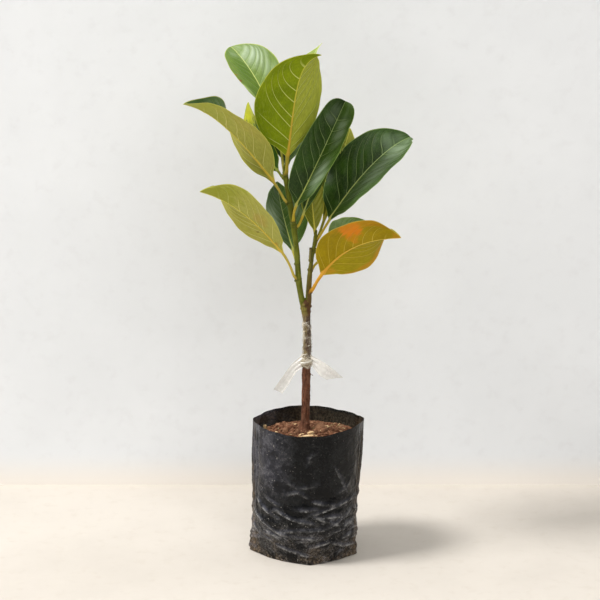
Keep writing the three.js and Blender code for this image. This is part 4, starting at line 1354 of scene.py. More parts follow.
# Streaks down the flanks, mostly at the bag's left and right edges: soil stains, and painted reflections of
# the pale surroundings.
FLANK_STAINS_AND_GLINTS = [(-170, 7), (-14, 7), (10, 10), (165, 12), (92, 10)]  # bearing, reach round
MORE_CREASES = 330  # drawn at random: first the long ones, and the last ones high up
LONG_CREASES = 90
LOW_CREASES = 260
LONG_LENGTHS = (14, 42)
SHORT_LENGTHS = (5, 14)
LONG_RISES = (1, 2.2)
SHORT_RISES = (0.3, 1)
LONG_WIDTHS = (1.1, 2)
SHORT_WIDTH = 0.8
FRONT = (-165, -15)  # bearings where most of the long creases are given by name
FRONT_LEAVES_OUT = 0.6
RIM_RISES = [  # bearing, how far the rim stands above the bag's height
    (0, 3.2), (14, 0.8), (36, -1.6), (50, -2.2), (75, -0.8), (95, 0.2), (130, 0), (150, -1.4), (168, 0.8),
    (180, 2.4), (210, 4), (233, 2.6), (258, 0.5), (280, 0.5), (295, 2.2), (316, 4.2), (335, 4.6), (360, 3.2),
]
FRONT_LIMIT = 65.4  # the frame's rim is the foremost part of the plant
RIM_CUSP = 1.6  # how far the flattened mouth reaches out at its two ends
RELIEF_MIDDLE = 1  # taken off the creases, so that they lie half in and half out
MM_PER_DEGREE = 1.12  # round the bag
CALM_FROM = 146  # creases fade from this height to the rim
MOUTH_FROM = 110  # the bag flattens towards its mouth from this height up


def base_reach(bearing):
    """How far the folded bottom reaches at a bearing: nearly straight from corner to corner."""
    count = len(BASE_CORNERS)
    for i in range(count):
        (start, near), (end, far) = BASE_CORNERS[i], BASE_CORNERS[(i + 1) % count]
        span = (end - start + 360) % 360
        past = (bearing - start + 720) % 360
        if past <= span:
            left, right = math.radians(past), math.radians(span - past)
            straight = near * far * math.sin(math.radians(span))
            straight = straight / (far * math.sin(right) + near * math.sin(left))
            return mix(straight, mix(near, far, past / span), BASE_ROUNDING)
    return BAG_BASE_RADIUS


def angle_from(bearing, middle):
    """How far a bearing lies past another, from -180 to 180."""
    return (bearing - middle + 180) % 360 - 180


def rim_rise(bearing):
    """How far the rim stands above the bag's height, rounded off and a little wavy."""
    table = np.array(RIM_RISES, dtype=float)
    steps = np.arange(-12, 13, 2)
    rises = [np.interp(np.mod(bearing + step, 360), table[:, 0], table[:, 1]) for step in steps]
    rise = sum(rises) / len(rises)
    return rise + 0.35 * np.sin(np.radians(11 * bearing)) + 0.2 * np.sin(np.radians(23 * bearing + 40))


def bag_reach(bearing, z):
    """The radius of the film before its creases."""
    height = np.clip(z / BAG_HEIGHT, 0, 1)
    circle = mix(BAG_BASE_RADIUS, BAG_RIM_RADIUS, height)
    square = 1 - smooth(0, SQUARE_BELOW, z)
    around = np.array([base_reach(angle) for angle in range(360)])
    folded = np.interp(np.mod(bearing, 360), range(361), np.append(around, around[0]))
    return mix(circle, folded, square)


def crease_form(bearing, z, points, rise, width):
    """Height of one crease, steep below its line and sloping above it, and its crest and its upper slope,
    where the painted highlight and sheen go.
    """
    best = np.full(len(z), 1e3)
    above = np.zeros(len(z), dtype=bool)
    ends = np.zeros(len(z))
    for place, ((b0, z0), (b1, z1)) in enumerate(zip(points, points[1:])):
        px = angle_from(bearing, b0) * MM_PER_DEGREE
        dx, dz = (b1 - b0) * MM_PER_DEGREE, z1 - z0
        pz = z - z0
        share = np.clip((px * dx + pz * dz) / (dx * dx + dz * dz), 0, 1)
        away = np.hypot(px - share * dx, pz - share * dz)
        closer = away < best
        best = np.where(closer, away, best)
        above = np.where(closer, (pz * dx - px * dz) * math.copysign(1, dx) > 0, above)
        ends = np.where(closer, (place + share) / (len(points) - 1), ends)
    wide = np.where(above, width * 2.6, width * 0.8)
    fade = np.sin(math.pi * np.clip(ends, 0.08, 0.92)) ** 0.5
    strength = fade * min(1, max(0, rise - 0.4) / 1.4)
    crest = strength * np.exp(-(best / np.where(above, 1.5, 0.6)) ** 2)
    slope = strength * np.exp(-((best - 2.6) / 2) ** 2) * above
    return rise * fade * np.exp(-(best / wide) ** 1.3), crest, slope


def random_creases(draw):
    """Long folds round the lower half, short wrinkles between them, and a few higher up."""
    creases = []
    for i in range(MORE_CREASES):
        long_fold, low = i < LONG_CREASES, i < LOW_CREASES
        bearing = draw.uniform(-180, 180)
        if long_fold and FRONT[0] < bearing < FRONT[1] and draw.random() < FRONT_LEAVES_OUT:
            continue
        z = draw.triangular(5, 84, 36) if low else draw.uniform(70, 150)
        length = draw.uniform(*(LONG_LENGTHS if long_fold else SHORT_LENGTHS))
        tilt = draw.gauss(0, 20) if low else draw.choice([-1, 1]) * draw.uniform(15, 75)
        half = (length / 2 * math.cos(math.radians(tilt)), length / 2 * math.sin(math.radians(tilt)))
        points = [
            (bearing - half[0], z - half[1]),
            (bearing, z + draw.uniform(-3, 3)),
            (bearing + half[0], z + half[1]),
        ]
        rise = draw.uniform(*(LONG_RISES if long_fold else SHORT_RISES)) * (1 if low else 0.5)
        creases.append((points, rise, draw.uniform(*LONG_WIDTHS) if long_fold else SHORT_WIDTH))
    return creases


def bag_relief(bearing, z, draw):
    """How far the creased film stands out from its plain shape, with the crests and upper slopes that take
    the painted highlights and sheen.
    """
    turn = np.radians(bearing)
    low = 1 - smooth(60, 105, z)
    round_it = stacked(np.cos(turn) * 60, np.sin(turn) * 60, z)
    swell = np.sin(2 * math.pi * z / FOLD_SPACING + 2 * np.sin(2 * turn))
    relief = 0.4 * FOLD_DEPTH * swell * smooth(2, 14, z) * (1 - smooth(60, 110, z)) - RELIEF_MIDDLE * low
    relief = relief + 1.2 * rumple(round_it * (1, 1, 0.7), 0.03, 2)
    folds, crests, slopes = np.zeros((3, len(z)))
    for points, rise, width in CREASES + random_creases(draw):
        fold, crest, slope = crease_form(bearing, z, points, rise, width)
        folds = np.maximum(folds, fold)
        crests = np.maximum(crests, crest)
        slopes = np.maximum(slopes, slope)
    relief = relief + folds
    wander = 4 * rumple(round_it * (0.2, 0.2, 1), 0.03, 2)
    upper = smooth(40, 85, z) * (1 - 0.75 * smooth(140, BAG_HEIGHT, z))
    for at, depth in SIDE_PLEATS:
        away = angle_from(bearing + wander, at)
        pleat = np.exp(-(away / 2) ** 2) - 0.5 * np.exp(-((away - 4) / 2) ** 2)
        relief = relief + depth * pleat * upper
    for at, height, out, wide, tall in EARS:
        away = angle_from(bearing, at)
        relief = relief + out * np.exp(-(away / wide) ** 2 - ((z - height) / tall) ** 2)
    crushed = ridges(round_it * (1, 1, 1.6), 0.055, 2) - 0.45
    return relief + crushed * mix(0.4, 1, low) + 0.15 * rumple(round_it, 0.25, 2), crests, slopes


def bag_finish():
    """Black film, satin to shiny, greyed by dust and stained by soil at its foot, with streaks down its
    flanks that are soil stains and painted reflections, painted highlights on its crests and painted sheen on
    their slopes and high on the left.
    """
    finish = Finish("bag_black_film", Specular_IOR_Level=0.16)
    place = finish.place()
    height = finish.measure("Z")
    cloud = finish.speckle(place, 48, 5, 0.6)
    grit = finish.speckle(place, 420, 5, 0.7)
    smear = finish.speckle(finish.stretch(place, (1, 1, 0.16)), 150, 4, 0.6)
    flank = finish.read("flank")
    across = finish.measure("X")
    left = finish.span(across, -48, -5, 1, 0)

    # Dust lies in clouds, thickest on the left of the front and low down.
    finish.colour = finish.blend(finish.span(cloud, 0.3, 0.7), "#060709", "#101214")
    upper = finish.times(left, finish.span(height, 70, 110))
    dusty = finish.plus(finish.times(upper, 0.8), finish.span(height, 80, 20, 0, 0.95))
    dust = finish.times(finish.span(grit, 0.46, 0.68), finish.span(cloud, 0.42, 0.62, 0.05, 1))
    dust = finish.times(dust, finish.plus(dusty, 0.08, clamp=True))
    finish.paint(finish.times(dust, 0.7), "#75726f")

    # Soil stains lie on the foot, and the streaks down the flanks are soil stains and painted reflections of
    # the pale surroundings at the film's edges, in soil colours.
    low = finish.span(height, 10, 55, 1, 0)
    stains_and_glints = finish.times(flank, finish.span(smear, 0.36, 0.6))
    stains_and_glints = finish.plus(stains_and_glints, finish.times(low, finish.span(cloud, 0.45, 0.7, 0, 0.5)))
    foot = finish.times(finish.span(height, 1.5, 11, 1, 0), finish.span(grit, 0.4, 0.62, 0.2, 0.75))
    foot = finish.times(foot, finish.span(cloud, 0.4, 0.58, 0.2, 1))
    stains_and_glints = finish.plus(stains_and_glints, foot, clamp=True)
    soil = finish.blend(finish.span(grit, 0.35, 0.65), "#3f3327", "#8c7860")
    finish.paint(finish.times(stains_and_glints, 0.6), soil)
    specks = finish.cells(place, 240, "F1")
    # Painted bluish sheen high on the left of the front.
    sheen = finish.times(upper, 0.6, finish.span(cloud, 0.3, 0.6, 0.1, 1))
    finish.paint(sheen, "#474853")
    speckled = finish.plus(finish.times(left, 0.9), finish.span(height, 25, 90, 0.8, 0.3), clamp=True)
    speckled = finish.times(speckled, finish.span(finish.speckle(place, 70, 2), 0.42, 0.6, 0.1, 1))
    finish.paint(finish.times(finish.span(specks, 0.08, 0.17, 0.8, 0), speckled), "#b5b1aa")

    # Scratches are paler, painted highlights lie along the creases' crests with a painted bluish sheen on
    # their upper slopes, and the inside is a little browner.
    winding = finish.speckle(finish.stretch(place, (1, 1, 1.4)), 75, 6, 0.62, 1.2)
    off_line = finish.math("ABSOLUTE", finish.math("SUBTRACT", winding, 0.5))
    scratches = finish.span(off_line, 0.002, 0.014, 1, 0)
    scratches = finish.times(scratches, finish.span(cloud, 0.42, 0.56, 0.05, 1))
    scratches = finish.times(scratches, finish.plus(dusty, 0.12, clamp=True))
    finish.paint(finish.times(scratches, 0.6), "#8e8d90")
    broken = finish.speckle(place, 120, 4, 0.65)
    # Painted highlights along the crests, broken up.
    crest_highlight = finish.times(finish.read("crest"), finish.span(grit, 0.36, 0.6, 0.3, 0.95))
    crest_highlight = finish.times(crest_highlight, finish.span(broken, 0.44, 0.6, 0.08, 0.75))
    # Painted bluish sheen on the creases' upper slopes.
    gleam = finish.times(finish.read("slope"), finish.span(cloud, 0.35, 0.6, 0.25, 0.8))
    gleam = finish.times(gleam, finish.span(broken, 0.36, 0.56, 0.35, 1))
    finish.paint(gleam, "#4c4e59")
    lining = finish.times(finish.read("lining"), finish.span(grit, 0.4, 0.62, 0.12, 0.5))
    finish.paint(lining, "#5d5648")
    finish.paint(crest_highlight, "#c6c6c6")
    shine = finish.span(cloud, 0.35, 0.65, 0.2, 0.34)
    matt = finish.plus(finish.times(stains_and_glints, 0.4), finish.times(dust, 0.25))
    finish.set(Roughness=finish.plus(shine, matt))

    # Pressed film: flat facets with sharp edges over softer crumples.
    bent = finish.warped(place, 60, 0.012)
    facets = finish.cells(finish.stretch(bent, (1, 1, 1.7)), 75, "F1")
    small = finish.cells(finish.stretch(bent, (1, 1, 1.3)), 190, "F1")
    relief = finish.bump(facets, finish.span(height, 50, 110, 0.5, 0.12), 0.004)
    relief = finish.bump(small, finish.span(height, 60, 120, 0.3, 0.08), 0.0012, relief)
    return finish.done(finish.bump(grit, 0.12, 0.0004, relief))


def bag_piece(sizes):
    """A tube from the middle of the bag's bottom, up its wall, over its rim and down inside."""
    rows = BAG_BOTTOM_ROWS + BAG_WALL_ROWS + BAG_INNER_ROWS
    bag = blank_tube("bag", BAG_COLUMNS, rows)
    row, column = grid_of(bag, BAG_COLUMNS, rows)
    bearing = column * 360 / BAG_COLUMNS
    wall = np.clip((row - BAG_BOTTOM_ROWS) / BAG_WALL_ROWS, 0, 1)
    inner = np.clip((row - BAG_BOTTOM_ROWS - BAG_WALL_ROWS) / BAG_INNER_ROWS, 0, 1)
    z = wall * BAG_HEIGHT - inner * BAG_INNER_DEPTH
    relief, crests, slopes = bag_relief(bearing, z, random.Random(sizes.seed))
    # crest and slope say where the painted highlights and sheen go.
    write_attribute(bag, "crest", crests)
    write_attribute(bag, "slope", slopes)
    write_attribute(bag, "lining", np.clip(inner * 8, 0, 1))
    relief *= smooth(-2, 6, z) * mix(1, 0.3, smooth(CALM_FROM, BAG_HEIGHT, z))
    ends = np.abs(np.cos(np.radians(bearing)))
    relief += RIM_CUSP * (ends ** 60 - 0.6 * ends ** 6) * smooth(MOUTH_FROM, BAG_HEIGHT, z)
    inset = np.where(row > BAG_BOTTOM_ROWS + BAG_WALL_ROWS, sizes.film_thickness / MM, 0)
    turn = np.radians(bearing)
    forward = np.maximum(-np.sin(turn), 0.2)
    reach = np.minimum(bag_reach(bearing, z) + relief, FRONT_LIMIT / forward) - inset
    bottom = np.clip(row / BAG_BOTTOM_ROWS, 0, 1)
    reach = np.where(row < BAG_BOTTOM_ROWS, reach * mix(0.12, 0.985, bottom), reach)
    lifted = z + (z / BAG_HEIGHT) ** 4 * rim_rise(bearing)
    under = rumple(stacked(np.cos(turn) * reach, np.sin(turn) * reach, 0 * z), 0.05, 3)
    lifted = np.where(row < BAG_BOTTOM_ROWS, 0.5 + 0.45 * under * bottom, lifted)
    lifted = np.where(row == BAG_BOTTOM_ROWS, 0.9 + 0.9 * under, lifted)
    lifted = np.maximum(lifted, 0)
    x = np.cos(turn) * reach + BAG_LEAN * z / BAG_HEIGHT
    set_points(bag, stacked(x, np.sin(turn) * reach, lifted))
    # The flank streaks mix soil stains with painted reflections at the bag's edges.
    flank = sum(np.exp(-(angle_from(bearing, at) / wide) ** 2) for at, wide in FLANK_STAINS_AND_GLINTS)
    write_attribute(bag, "flank", np.clip(flank, 0, 1) * (1 - 0.4 * smooth(120, 160, z)))
    bag.data.materials.append(bag_finish())
    smooth_shading(bag, 75)
    keep(bag, "black_bag", "bag_film", "nursery_bag")


class BagSizes(PropertyGroup):
    film_thickness: FloatProperty(
        name="Rim thickness", description="Thickness of the film at the rim", default=0.0005, unit="LENGTH"
    )
    seed: IntProperty(name="Seed", description="Draws the creases the photograph doesn't show", default=23)


class CASHEW_OT_nursery_bag(Operator):
    """Model the creased black film of the nursery bag"""

    bl_idname = "cashew.nursery_bag"
    bl_label = "Nursery Bag"

    def execute(self, context):
        bag_piece(context.scene.cashew_bag)
        return {"FINISHED"}


# Soil

SOIL_COLUMNS = 160
SOIL_WALL_ROWS = 4
SOIL_TOP_ROWS = 72
SOIL_FLOOR = 121
CRUMBS = 2300
STRAWS = 18
STRAW_SIDES = 6
STRAW_ROWS = 6
NAMED_STRAWS = [  # x, y, length, bearing, tilt
    (-20.5, 33, 13, 45, 5), (-11.5, 38.5, 11, 12, 4), (41, 37, 18, 66, 10), (41, 11, 19, -50, 8),
    (35, 36.5, 17, 62, 6), (17, 8, 10, -5, 6), (28, 19, 12, 25, 14), (-30, 12, 10, 70, 8),
    (18, -26, 11, 15, 5), (44, 22, 12, -20, 14), (-16, -20, 8, -35, 6),
]
CHIPS = [  # x, y, length, width, thickness, bearing
    (5.5, -24, 22, 5.5, 2.4, -3), (9, -17.5, 9, 4.5, 2.6, 22), (-2, -21.5, 8, 2.6, 1.8, 38),
    (-46, 30, 4.5, 4, 4.5, 70), (-32, -6, 5, 3.5, 2.4, 30), (27, 30, 8, 3, 1.4, -35),
    (-10, 24, 7, 3, 1.3, 50),
]
CLODS = [  # x, y, size
    (19, 2, 6.5), (24, -5, 4.5), (-15, 6, 5), (-26, 20, 4.5), (33, 8, 4), (12, 14, 3.5), (-6, -12, 3.6),
    (-21, -3, 4.2), (-30, 30, 3.8), (14, -10, 3.4), (40, -8, 4.6), (-38, -14, 4), (4, 38, 4.4),
]
SOIL_DROP = 3  # how much lower the loose soil lies at the film than in the frame
SOIL_GAP = 1.1  # from the bag's plain shape to the soil's side
SOIL_CLOSES = 0.995  # how near the soil's rows come to its middle, as a share
SOIL_MIDDLE_X = 5.8  # crumbs and straws are spread round here
CRUMBS_REACH = 60
STRAWS_REACH = 56
CLEAR_OF_TRUNK = 8


def soil_height(x, y):
    """The height of the soil's skin in the bag."""
    points = stacked(x, y, 0 * x)
    far = np.hypot(x - TRUNK_X, y)
    level = mix(SOIL_CROWN_HEIGHT - 0.6, SOIL_EDGE_HEIGHT - SOIL_DROP, smooth(10, 60, far))
    lumps = 2.1 * rumple(points, 0.055, 3) + 1.6 * rumple(points + 50, 0.22, 3)
    lumps = lumps + 1.2 * ridges(points, 0.2, 2) - 0.6
    return level + lumps * smooth(4, 16, far) * (1 - 0.5 * smooth(52, 62, far))


def soil_finish():
    """Crumbly reddish-brown soil mix."""
    finish = Finish("soil_crumbs", Roughness=0.95, Specular_IOR_Level=0.15)
    place = finish.place()
    patch = finish.speckle(place, 110, 5, 0.65)
    grit = finish.speckle(place, 700, 4, 0.7)
    tone = finish.read("tone")
    finish.colour = finish.blend(finish.span(patch, 0.35, 0.65), "#4f3022", "#7e553f")
    finish.paint(finish.times(tone, 0.75), "#a97f62")
    finish.paint(finish.span(grit, 0.5, 0.75, 0, 0.55), "#b08c6e")
    finish.paint(finish.span(grit, 0.25, 0.45, 0.8, 0), "#28160e")
    return finish.done(finish.bump(grit, 0.8, 0.0008))


def straw_finish():
    """Dry straw with darker lengthwise fibres."""
    finish = Finish("dry_straw", Roughness=0.7)
    place = finish.place()
    patch = finish.speckle(place, 120, 3)
    fibre = finish.speckle(place, 900, 3, 0.7)
    finish.colour = finish.blend(finish.span(patch, 0.35, 0.65), "#937246", "#d9c295")
    finish.paint(finish.span(fibre, 0.55, 0.75, 0, 0.5), "#6e5130")
    return finish.done(finish.bump(fibre, 0.4, 0.0003))


def chip_finish():
    """Pale splintered wood."""
    finish = Finish("wood_chip", Roughness=0.75)
    place = finish.place()
    grain = finish.speckle(finish.stretch(place, (0.25, 1, 1)), 600, 4, 0.65)
    patch = finish.speckle(place, 160, 3)
    finish.colour = finish.blend(finish.span(grain, 0.3, 0.7), "#c09a6a", "#ecd3a8")
    finish.paint(finish.span(patch, 0.5, 0.75, 0, 0.6), "#8f6742")
    return finish.done(finish.bump(grain, 0.5, 0.0005))


def turned(x, y, z, bearing, tilt, roll, scale):
    """A place as a matrix, in metres."""
    turn = Euler((math.radians(roll), math.radians(-tilt), math.radians(bearing)), "XYZ").to_matrix().to_4x4()
    size = Matrix.Diagonal((*scale, 1))
    return Matrix.Translation(Vector((x, y, z)) * MM) @ turn @ size


def random_spot(draw, most):
    """A place in the bag's mouth, up to most away from its middle."""
    angle, far = draw.uniform(0, 2 * math.pi), most * math.sqrt(draw.random())
    return SOIL_MIDDLE_X + math.cos(angle) * far, math.sin(angle) * far


def crumb_piece(draw, rounds, sizes, count, extra=()):
    """Crumbs or clods of soil, from one rough pebble."""
    deselect()
    bpy.ops.mesh.primitive_ico_sphere_add(subdivisions=rounds, radius=1)
    pebble = bpy.context.object
    rough = points_of(pebble)
    pebble.data.vertices.foreach_set("co", (rough * (1 + 0.28 * rumple(rough + 3, 1.3))[:, None]).ravel())
    places = []
    for _ in range(count):
        x, y = random_spot(draw, CRUMBS_REACH)
        if math.hypot(x - TRUNK_X, y) >= CLEAR_OF_TRUNK:
            places.append((x, y, draw.choice(sizes) * draw.uniform(0.8, 1.25)))
    places += extra
    spots = np.array([(x, y) for x, y, _ in places], dtype=float)
    ground = soil_height(spots[:, 0], spots[:, 1])
    matrices = []
    for (x, y, size), z in zip(places, ground):
        shape = [size * MM * draw.uniform(0.7, 1.2) for _ in range(3)]
        matrices.append(turned(x, y, z + 0.2 * size, draw.uniform(0, 360), draw.uniform(-90, 90), 0, shape))
    return scatter(pebble, matrices, "crumbs", draw)


def straw_piece(draw):
    """Bits of straw, from one bent stalk a metre long that every place shrinks."""
    stalk = blank_tube("straw_blank", STRAW_SIDES, STRAW_ROWS)
    row, column = grid_of(stalk, STRAW_SIDES, STRAW_ROWS)
    share = row / STRAW_ROWS
    turn = 2 * math.pi * column / STRAW_SIDES
    thin = mix(1, 0.6, share)
    body = stacked(share - 0.5, np.cos(turn) * thin, np.sin(turn) * thin)
    body[:, 2] += 0.06 * np.sin(math.pi * share)
    set_points(stalk, body / MM)
    places = list(NAMED_STRAWS)
    for _ in range(STRAWS):
        x, y = random_spot(draw, STRAWS_REACH)
        places.append((x, y, draw.uniform(4, 12), draw.uniform(0, 360), draw.uniform(-8, 14)))
    spots = np.array([place[:2] for place in places], dtype=float)
    ground = soil_height(spots[:, 0], spots[:, 1])
    matrices = []
    for (x, y, length, bearing, tilt), z in zip(places, ground):
        thin = draw.uniform(0.4, 0.75) * MM
        matrices.append(turned(x, y, z + 1.1, bearing, tilt, draw.uniform(0, 360), (length * MM, thin, thin)))
    return scatter(stalk, matrices, "straw", draw)


def chip_piece():
    """Wood chips: blocks with broken ends and slanted edges."""
    chips = []
    for x, y, length, width, thick, bearing in CHIPS:
        deselect()
        bpy.ops.mesh.primitive_cube_add(size=1)
        chip = bpy.context.object
        bpy.ops.object.mode_set(mode="EDIT")
        bpy.ops.mesh.select_all(action="SELECT")
        bpy.ops.mesh.subdivide(number_cuts=5)
        bpy.ops.mesh.bevel(offset=0.03, segments=1, affect="EDGES")
        bpy.ops.object.mode_set(mode="OBJECT")
        body = points_of(chip)
        taper = 1 - 0.75 * np.abs(2 * body[:, 0]) ** 2.5
        body[:, 1] *= taper
        body[:, 2] = body[:, 2] * mix(0.5, 1, taper) + 0.12 * np.sin(5 * body[:, 0])
        body = body * (length, width, thick)
        body += 0.28 * np.stack([rumple(body + shift, 0.7) for shift in (1, 9, 17)], axis=1)
        turn = math.radians(bearing)
        along, across = body[:, 0], body[:, 1]
        spun = stacked(
            along * math.cos(turn) - across * math.sin(turn),
            along * math.sin(turn) + across * math.cos(turn), body[:, 2],
        )
        ground = soil_height(np.array([x]), np.array([float(y)]))[0]
        set_points(chip, spun + (x, y, ground + thick / 2 + 0.4))
        chips.append(chip)
    return join(chips)


def soil_body():
    """A tube up the bag's inside and over the soil's top to the trunk."""
    rows = SOIL_WALL_ROWS + SOIL_TOP_ROWS
    soil = blank_tube("soil_body", SOIL_COLUMNS, rows)
    row, column = grid_of(soil, SOIL_COLUMNS, rows)
    bearing = column * 360 / SOIL_COLUMNS
    inward = np.clip((row - SOIL_WALL_ROWS) / SOIL_TOP_ROWS, 0, 1)
    wall_z = mix(SOIL_FLOOR, SOIL_EDGE_HEIGHT, np.clip(row / SOIL_WALL_ROWS, 0, 1))
    reach = (bag_reach(bearing, wall_z) - SOIL_GAP) * (1 - SOIL_CLOSES * inward)
    turn = np.radians(bearing)
    x = np.cos(turn) * reach + BAG_LEAN * wall_z / BAG_HEIGHT * (1 - inward) + TRUNK_X * inward
    y = np.sin(turn) * reach
    z = np.where(row <= SOIL_WALL_ROWS, wall_z, soil_height(x, y))
    z = np.where(row == SOIL_WALL_ROWS, soil_height(x, y), z)
    set_points(soil, stacked(x, y, z))
    return soil


class SoilLook(PropertyGroup):
    seed: IntProperty(name="Seed", description="Draws where crumbs and straws lie", default=5)


class CASHEW_OT_soil(Operator):
    """Model the soil with its crumbs, straw and wood chips"""

    bl_idname = "cashew.soil"
    bl_label = "Soil"

    def execute(self, context):
        draw = random.Random(context.scene.cashew_soil.seed)
        soil = soil_body()
        soil.data.materials.append(soil_finish())
        crumbs = crumb_piece(draw, 1, (0.6, 0.8, 1, 1.3), CRUMBS)
        clods = crumb_piece(draw, 2, (1.5, 1.9, 2.4), CRUMBS // 9, CLODS)
        for piece in (crumbs, clods):
            piece.data.materials.append(soil.data.materials[0])
        straw = straw_piece(draw)
        straw.data.materials.append(straw_finish())
        chips = chip_piece()
        chips.data.materials.append(chip_finish())
        piece = join([soil, crumbs, clods, straw, chips])
        smooth_shading(piece, 40)
        keep(piece, "soil_mix", "soil_mix", "soil")
        return {"FINISHED"}


# Stage

VIEW_TARGET = (-3.6, 0, 308.8)  # what the middle of the picture looks at, in millimetres
VIEW_DISTANCE = 2400
VIEW_DROP = 13.6  # degrees that the camera looks down
VIEW_LENS = 123.06
WALL_Y = 239
# A painted glow, brighter and warmer, lies on the wall's foot and blends it into the better-lit floor.
LIT_WALL_FOOT = 48  # the wall takes on another colour from this height down to the floor
BACKGROUND = 0.82  # how bright the surroundings look past the wall and the floor
SENSOR_WIDTH = 36

# The stage, in metres

STAGE_WIDTH = 8
KEY_PLACE = (-3.3, -1.1, 4.8)
KEY_AIM = (0, 0, 0.2)
KEY_WIDTH = 1.5
FILL_PLACE = (1, -3.2, 2.7)
FILL_AIM = (0, 0, 0.3)
FILL_WIDTH = 2.4
LIGHT_COLOUR = (1, 0.98, 0.95)
SKY_COLOUR = (1, 0.965, 0.91, 1)
SKY_FADE = (-0.1, 0.75)  # the even light grows from the first to the second height of its direction
SKY_BELOW = 0.08  # how much of it comes from below


def stage_finish(name, first, second, spot, roughness, foot=None):
    """Faintly clouded plaster, which can turn near the floor into another, brighter colour: a painted glow.
    """
    finish = Finish(name, Roughness=roughness, Specular_IOR_Level=0.2)
    place = finish.place()
    cloud = finish.speckle(place, 3.2, 5, 0.6)
    grain = finish.speckle(place, 60, 4, 0.6)
    finish.colour = finish.blend(finish.span(cloud, 0.35, 0.65), first, second)
    finish.paint(finish.span(grain, 0.5, 0.8, 0, 0.25), spot)
    # Painted glow towards the floor.
    if foot:
        finish.paint(finish.span(finish.measure("Z"), 0, LIT_WALL_FOOT, 1, 0), foot)
    return finish.done(finish.bump(grain, 0.06, 0.002))


class StageLook(PropertyGroup):
    key_power: FloatProperty(name="Key light", description="Power of the soft light on the left", default=308)
    fill_power: FloatProperty(name="Fill light", description="Power of the broad light in front", default=40)
    sky: FloatProperty(name="Surrounding light", description="Strength of the even light", default=0.58)


def seen_from_the_front(material):
    """Turns a wall clear from behind, so that it hides nothing from a viewer on its far side."""
    tree = material.node_tree
    facing = tree.nodes.new("ShaderNodeNewGeometry")
    front = tree.nodes.new("ShaderNodeMath")
    front.operation = "SUBTRACT"
    front.inputs[0].default_value = 1
    tree.links.new(facing.outputs["Backfacing"], front.inputs[1])
    tree.links.new(front.outputs[0], tree.nodes["Principled BSDF"].inputs["Alpha"])
    return material


def plane(name, place, turn, material):
    """A flat square of the stage, turned round the X axis."""
    deselect()
    bpy.ops.mesh.primitive_plane_add(size=STAGE_WIDTH, location=place, rotation=(turn, 0, 0))
    bpy.ops.object.transform_apply(location=True, rotation=True, scale=True)
    piece = bpy.context.object
    piece.name = name
    piece.data.materials.append(material)
    return piece


def soft_light(name, place, aim, size, power):
    """A square lamp that faces its aim."""
    deselect()
    bpy.ops.object.light_add(type="AREA", location=Vector(place))
    lamp = bpy.context.object
    lamp.name = name
    lamp.data.size = size
    lamp.data.energy = power
    lamp.data.color = LIGHT_COLOUR
    lamp.rotation_euler = (Vector(aim) - Vector(place)).to_track_quat("-Z", "Y").to_euler()


def surroundings(sky):
    """An even light that is strongest from above, behind a plain pale background."""
    world = bpy.data.worlds.new("studio")
    bpy.context.scene.world = world
    world.use_nodes = True
    nodes, links = world.node_tree.nodes, world.node_tree.links
    background = nodes["Background"]
    background.inputs["Color"].default_value = SKY_COLOUR
    aim = nodes.new("ShaderNodeTexCoord")
    split = nodes.new("ShaderNodeSeparateXYZ")
    rise = nodes.new("ShaderNodeMapRange")
    for key, value in zip(("From Min", "From Max", "To Min", "To Max"), (*SKY_FADE, sky * SKY_BELOW, sky)):
        rise.inputs[key].default_value = value
    path = nodes.new("ShaderNodeLightPath")
    shown = nodes.new("ShaderNodeMix")
    shown.inputs["B"].default_value = BACKGROUND
    links.new(aim.outputs["Generated"], split.inputs[0])
    links.new(split.outputs["Z"], rise.inputs["Value"])
    links.new(path.outputs["Is Camera Ray"], shown.inputs["Factor"])
    links.new(rise.outputs["Result"], shown.inputs["A"])
    links.new(shown.outputs["Result"], background.inputs["Strength"])


def camera():
    """The photograph's view: from the front, looking down a little."""
    drop = math.radians(VIEW_DROP)
    ahead = Vector((0, math.cos(drop), -math.sin(drop)))
    bpy.ops.object.camera_add(
        location=(Vector(VIEW_TARGET) - ahead * VIEW_DISTANCE) * MM,
        rotation=(math.pi / 2 - drop, 0, 0),
    )
    piece = bpy.context.object
    piece.data.sensor_width = SENSOR_WIDTH
    piece.data.lens = VIEW_LENS
    piece.data.clip_start = 0.1
    piece.data.clip_end = 50
    bpy.context.scene.camera = piece


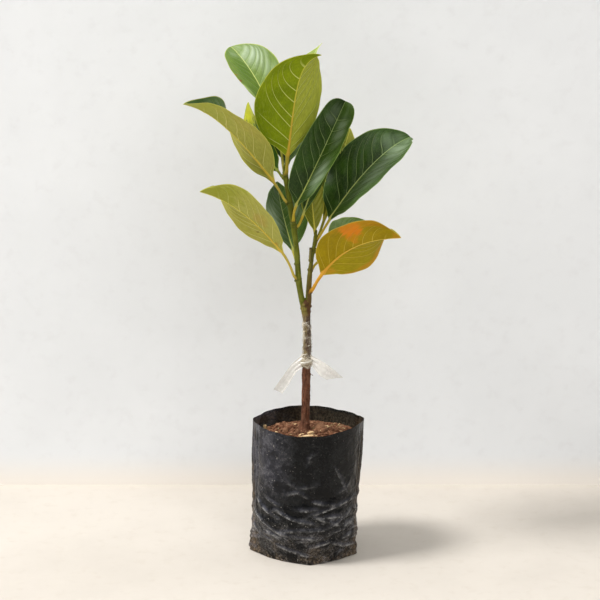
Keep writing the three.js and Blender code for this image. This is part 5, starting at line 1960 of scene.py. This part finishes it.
class CASHEW_OT_stage(Operator):
    """Set up the pale floor and wall, the soft lights and the camera"""

    bl_idname = "cashew.stage"
    bl_label = "Stage"

    def execute(self, context):
        look = context.scene.cashew_stage
        plaster = stage_finish("floor_plaster", "#ccc6be", "#d4cec6", "#bcb2a5", 0.75)
        floor = plane("pale_floor", (0, WALL_Y * MM - STAGE_WIDTH / 2, 0), 0, plaster)
        plaster = stage_finish("wall_plaster", "#ecf0f5", "#f2f6fb", "#dee0e5", 0.9, "#f9f5f0")
        plaster = seen_from_the_front(plaster)
        wall = plane("pale_wall", (0, WALL_Y * MM, STAGE_WIDTH / 2), math.pi / 2, plaster)
        soft_light("key_light", KEY_PLACE, KEY_AIM, KEY_WIDTH, look.key_power)
        soft_light("fill_light", FILL_PLACE, FILL_AIM, FILL_WIDTH, look.fill_power)
        surroundings(look.sky)
        camera()
        context.scene.view_settings.view_transform = "Standard"
        return {"FINISHED"}


class CASHEW_PT_pieces(Panel):
    bl_idname = "CASHEW_PT_pieces"
    bl_label = "Cashew Tree"
    bl_space_type = "VIEW_3D"
    bl_region_type = "UI"
    bl_category = "Cashew Tree"

    def draw(self, context):
        for operator in OPERATORS:
            self.layout.operator(operator.bl_idname)
        for group in GROUPS:
            sizes = getattr(context.scene, group)
            for field in sizes.__annotations__:
                self.layout.prop(sizes, field)


GROUPS = {
    "cashew_leaf": LeafSizes, "cashew_stem": StemSizes, "cashew_film": FilmSizes, "cashew_bag": BagSizes,
    "cashew_soil": SoilLook, "cashew_stage": StageLook,
}
OPERATORS = (
    CASHEW_OT_stage, CASHEW_OT_leaves, CASHEW_OT_stems, CASHEW_OT_graft_film, CASHEW_OT_nursery_bag,
    CASHEW_OT_soil,
)


def register():
    for kind in (*GROUPS.values(), *OPERATORS, CASHEW_PT_pieces):
        bpy.utils.register_class(kind)
    for name, kind in GROUPS.items():
        setattr(bpy.types.Scene, name, PointerProperty(type=kind))


def unregister():
    for name in GROUPS:
        delattr(bpy.types.Scene, name)
    for kind in reversed((*GROUPS.values(), *OPERATORS, CASHEW_PT_pieces)):
        bpy.utils.unregister_class(kind)


def main():
    register()
    bpy.ops.cashew.stage()
    bpy.ops.cashew.leaves()
    bpy.ops.cashew.stems()
    bpy.ops.cashew.graft_film()
    bpy.ops.cashew.nursery_bag()
    bpy.ops.cashew.soil()


if __name__ == "__main__":
    main()
